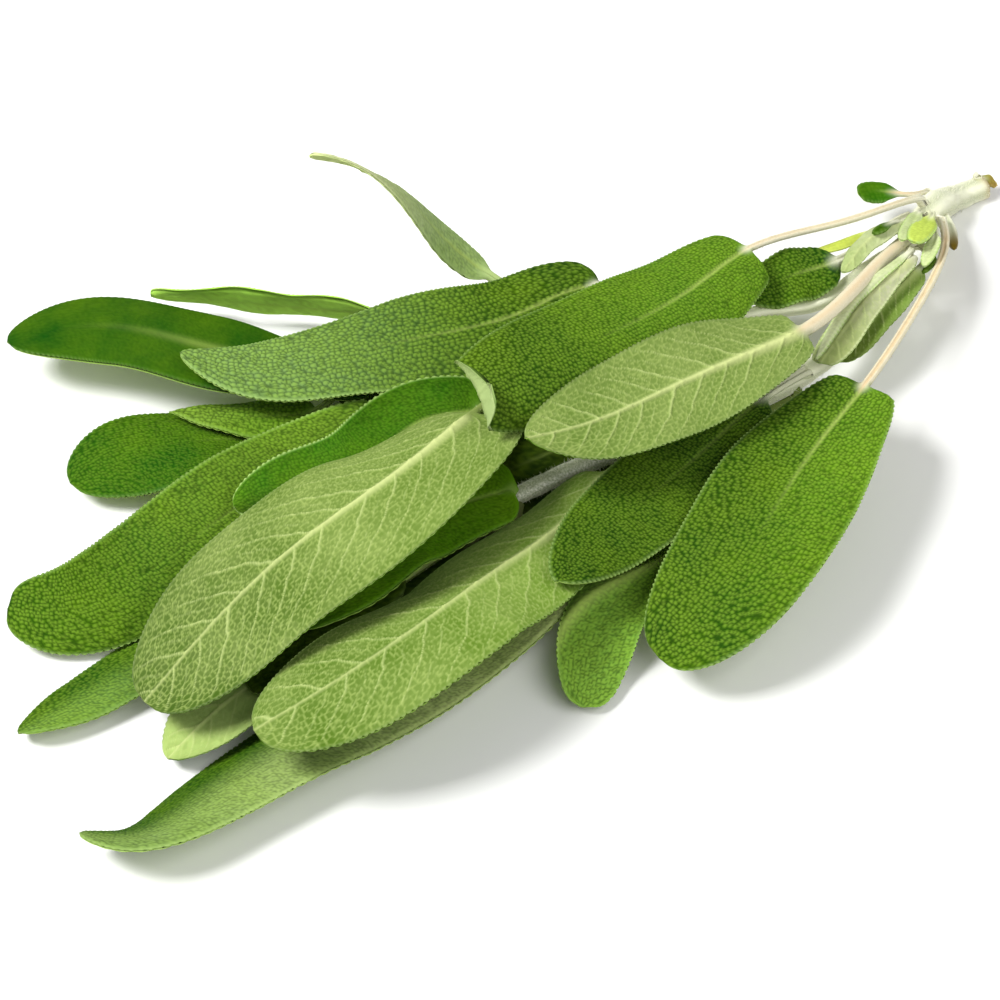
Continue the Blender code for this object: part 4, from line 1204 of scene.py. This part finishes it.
def make_stem():
    """All shoots in one mesh, with their wool."""
    points, values, faces = [], [], []
    count = 0
    for name in SHOOTS:
        tube, form, path, radii = shoot_tube(name)
        rows = len(tube)
        numbers = count + np.arange(rows * STEM_SIDES).reshape(rows, STEM_SIDES)
        around = np.concatenate([numbers, numbers[:, :1]], axis=1)
        a, b, c, d = around[:-1, :-1], around[1:, :-1], around[1:, 1:], around[:-1, 1:]
        faces += np.stack([part.ravel() for part in (a, b, c, d)], axis=1).tolist()
        faces += [numbers[0].tolist(), numbers[-1][::-1].tolist()]
        points.append(tube.reshape(-1, 3))
        values.append(form.reshape(-1, 4))
        count += rows * STEM_SIDES
        distances = lengths_along(path)
        woolly = [(distances < SHADED_FROM, WOOL[name])]
        if name == "front":
            woolly.append((abs(distances - NODE_AT) < NODE_REACH, NODE_WOOL))
        for there, (hairs_per_mm, length) in woolly:
            hairs, hair_faces = wool(path[there], radii[there], hairs_per_mm, length, seed=rows)
            points.append(hairs)
            values.append(np.zeros((len(hairs), 4)))
            faces += (hair_faces + count).tolist()
            count += len(hairs)
    form = {"form": np.concatenate(values)}
    return new_mesh("sage_stem", np.concatenate(points), faces, (STEM_SKIN,), form)


stem = make_stem()
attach(stem, "root")
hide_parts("stem")

# %% [markdown]
# ## All the leaves
# Copies of one leaf would be lighter, but a bunch of equal leaves looks false. Each leaf gets its own
# seed instead, so that no two nets are alike but every run gives the same ones. It takes the place
# of its solid, which stays behind, hidden.

# %% All the leaves
for number, leaf in enumerate(LEAVES):
    piece = make_leaf(leaf, LOOKS[leaf.name], 100 + number)
    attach(piece, "root")
    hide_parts(leaf.name)

# %% [markdown]
# ## All the little leaves
# They could be plain cards, too small for a net to show. But the same function makes them with no
# more work, and up close they hold. They have no solid to take the place of.

# %% All the little leaves
for number, leaf in enumerate(LITTLE_LEAVES):
    piece = make_leaf(leaf, LOOKS[leaf.name], 200 + number)
    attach(piece, "root")

# %% [markdown]
# ## The table
# Cut herbs are usually shown on a white table. A matt painted board is enough: one big square with
# high roughness, half a millimetre below the leaves so that nothing flickers where they touch it.

# %% The table
FLOOR_HALF = 3.0


def make_floor():
    mesh = bpy.data.meshes.new("floor")
    corners = [(-FLOOR_HALF, -FLOOR_HALF, 0), (FLOOR_HALF, -FLOOR_HALF, 0),
               (FLOOR_HALF, FLOOR_HALF, 0), (-FLOOR_HALF, FLOOR_HALF, 0)]
    mesh.from_pydata(corners, [], [(0, 1, 2, 3)])
    material, _, shader = start("matte white table", 0.9, 0.15, 0.0, "#FFFFFF")
    shader.inputs["Base Color"].default_value = linear("#F4F4F2")
    mesh.materials.append(material)
    item = bpy.data.objects.new("floor", mesh)
    item.location.z = -0.5 * MM
    bpy.context.scene.collection.objects.link(item)


make_floor()

# %% [markdown]
# ## Light
# Small lamps would give hard shadows that hide the leaves below. One large lamp from the left gives
# the leaves their shape, a weaker one in front opens the shadows, and the pale world fills in.

# %% Light
def look_at(item, place, target):
    item.location = place
    item.rotation_euler = (Vector(target) - Vector(place)).to_track_quat("-Z", "Y").to_euler()


def add_lamp(name, place, target, size, power):
    light = bpy.data.lights.new(name, "AREA")
    light.size = size
    light.energy = power
    item = bpy.data.objects.new(name, light)
    bpy.context.scene.collection.objects.link(item)
    look_at(item, place, target)
    print(name, "-", power, "W")


world = bpy.data.worlds.new("white studio")
bpy.context.scene.world = world
world.use_nodes = True
background = world.node_tree.nodes["Background"]
background.inputs["Color"].default_value = linear("#FFFFFF")
background.inputs["Strength"].default_value = 0.30
add_lamp("big soft lamp from the left", (-0.47, 0.20, 0.72), (0, 0, 0), 0.28, 9.0)
add_lamp("soft lamp in front", (0.07, -0.42, 0.5), (0, 0, 0), 0.5, 2.2)

# %% [markdown]
# ## Camera
# The bunch is seen from about 50 degrees above the table, as someone standing at it would. A long
# lens from half a metre away keeps the near leaves from looking too large.

# %% Camera
camera_data = bpy.data.cameras.new("camera")
camera_data.lens = 100
camera_data.sensor_width = 36
camera = bpy.data.objects.new("camera", camera_data)
bpy.context.scene.collection.objects.link(camera)
look_at(camera, (-0.1874, -0.2612, 0.3648), (-0.0185, -0.0200, 0.0140))
bpy.context.scene.camera = camera
bpy.context.scene.view_settings.view_transform = "Standard"
print("the camera stands", round(camera.location.length, 2), "m away")

# %% [markdown]
# ## The end
# Last, the number of pieces made is printed. The visual model has to stay inside the box of the
# solids, apart from what soft leaves may stand proud.

# %% The end
print("pieces made:", 1 + len(LEAVES) + len(LITTLE_LEAVES))
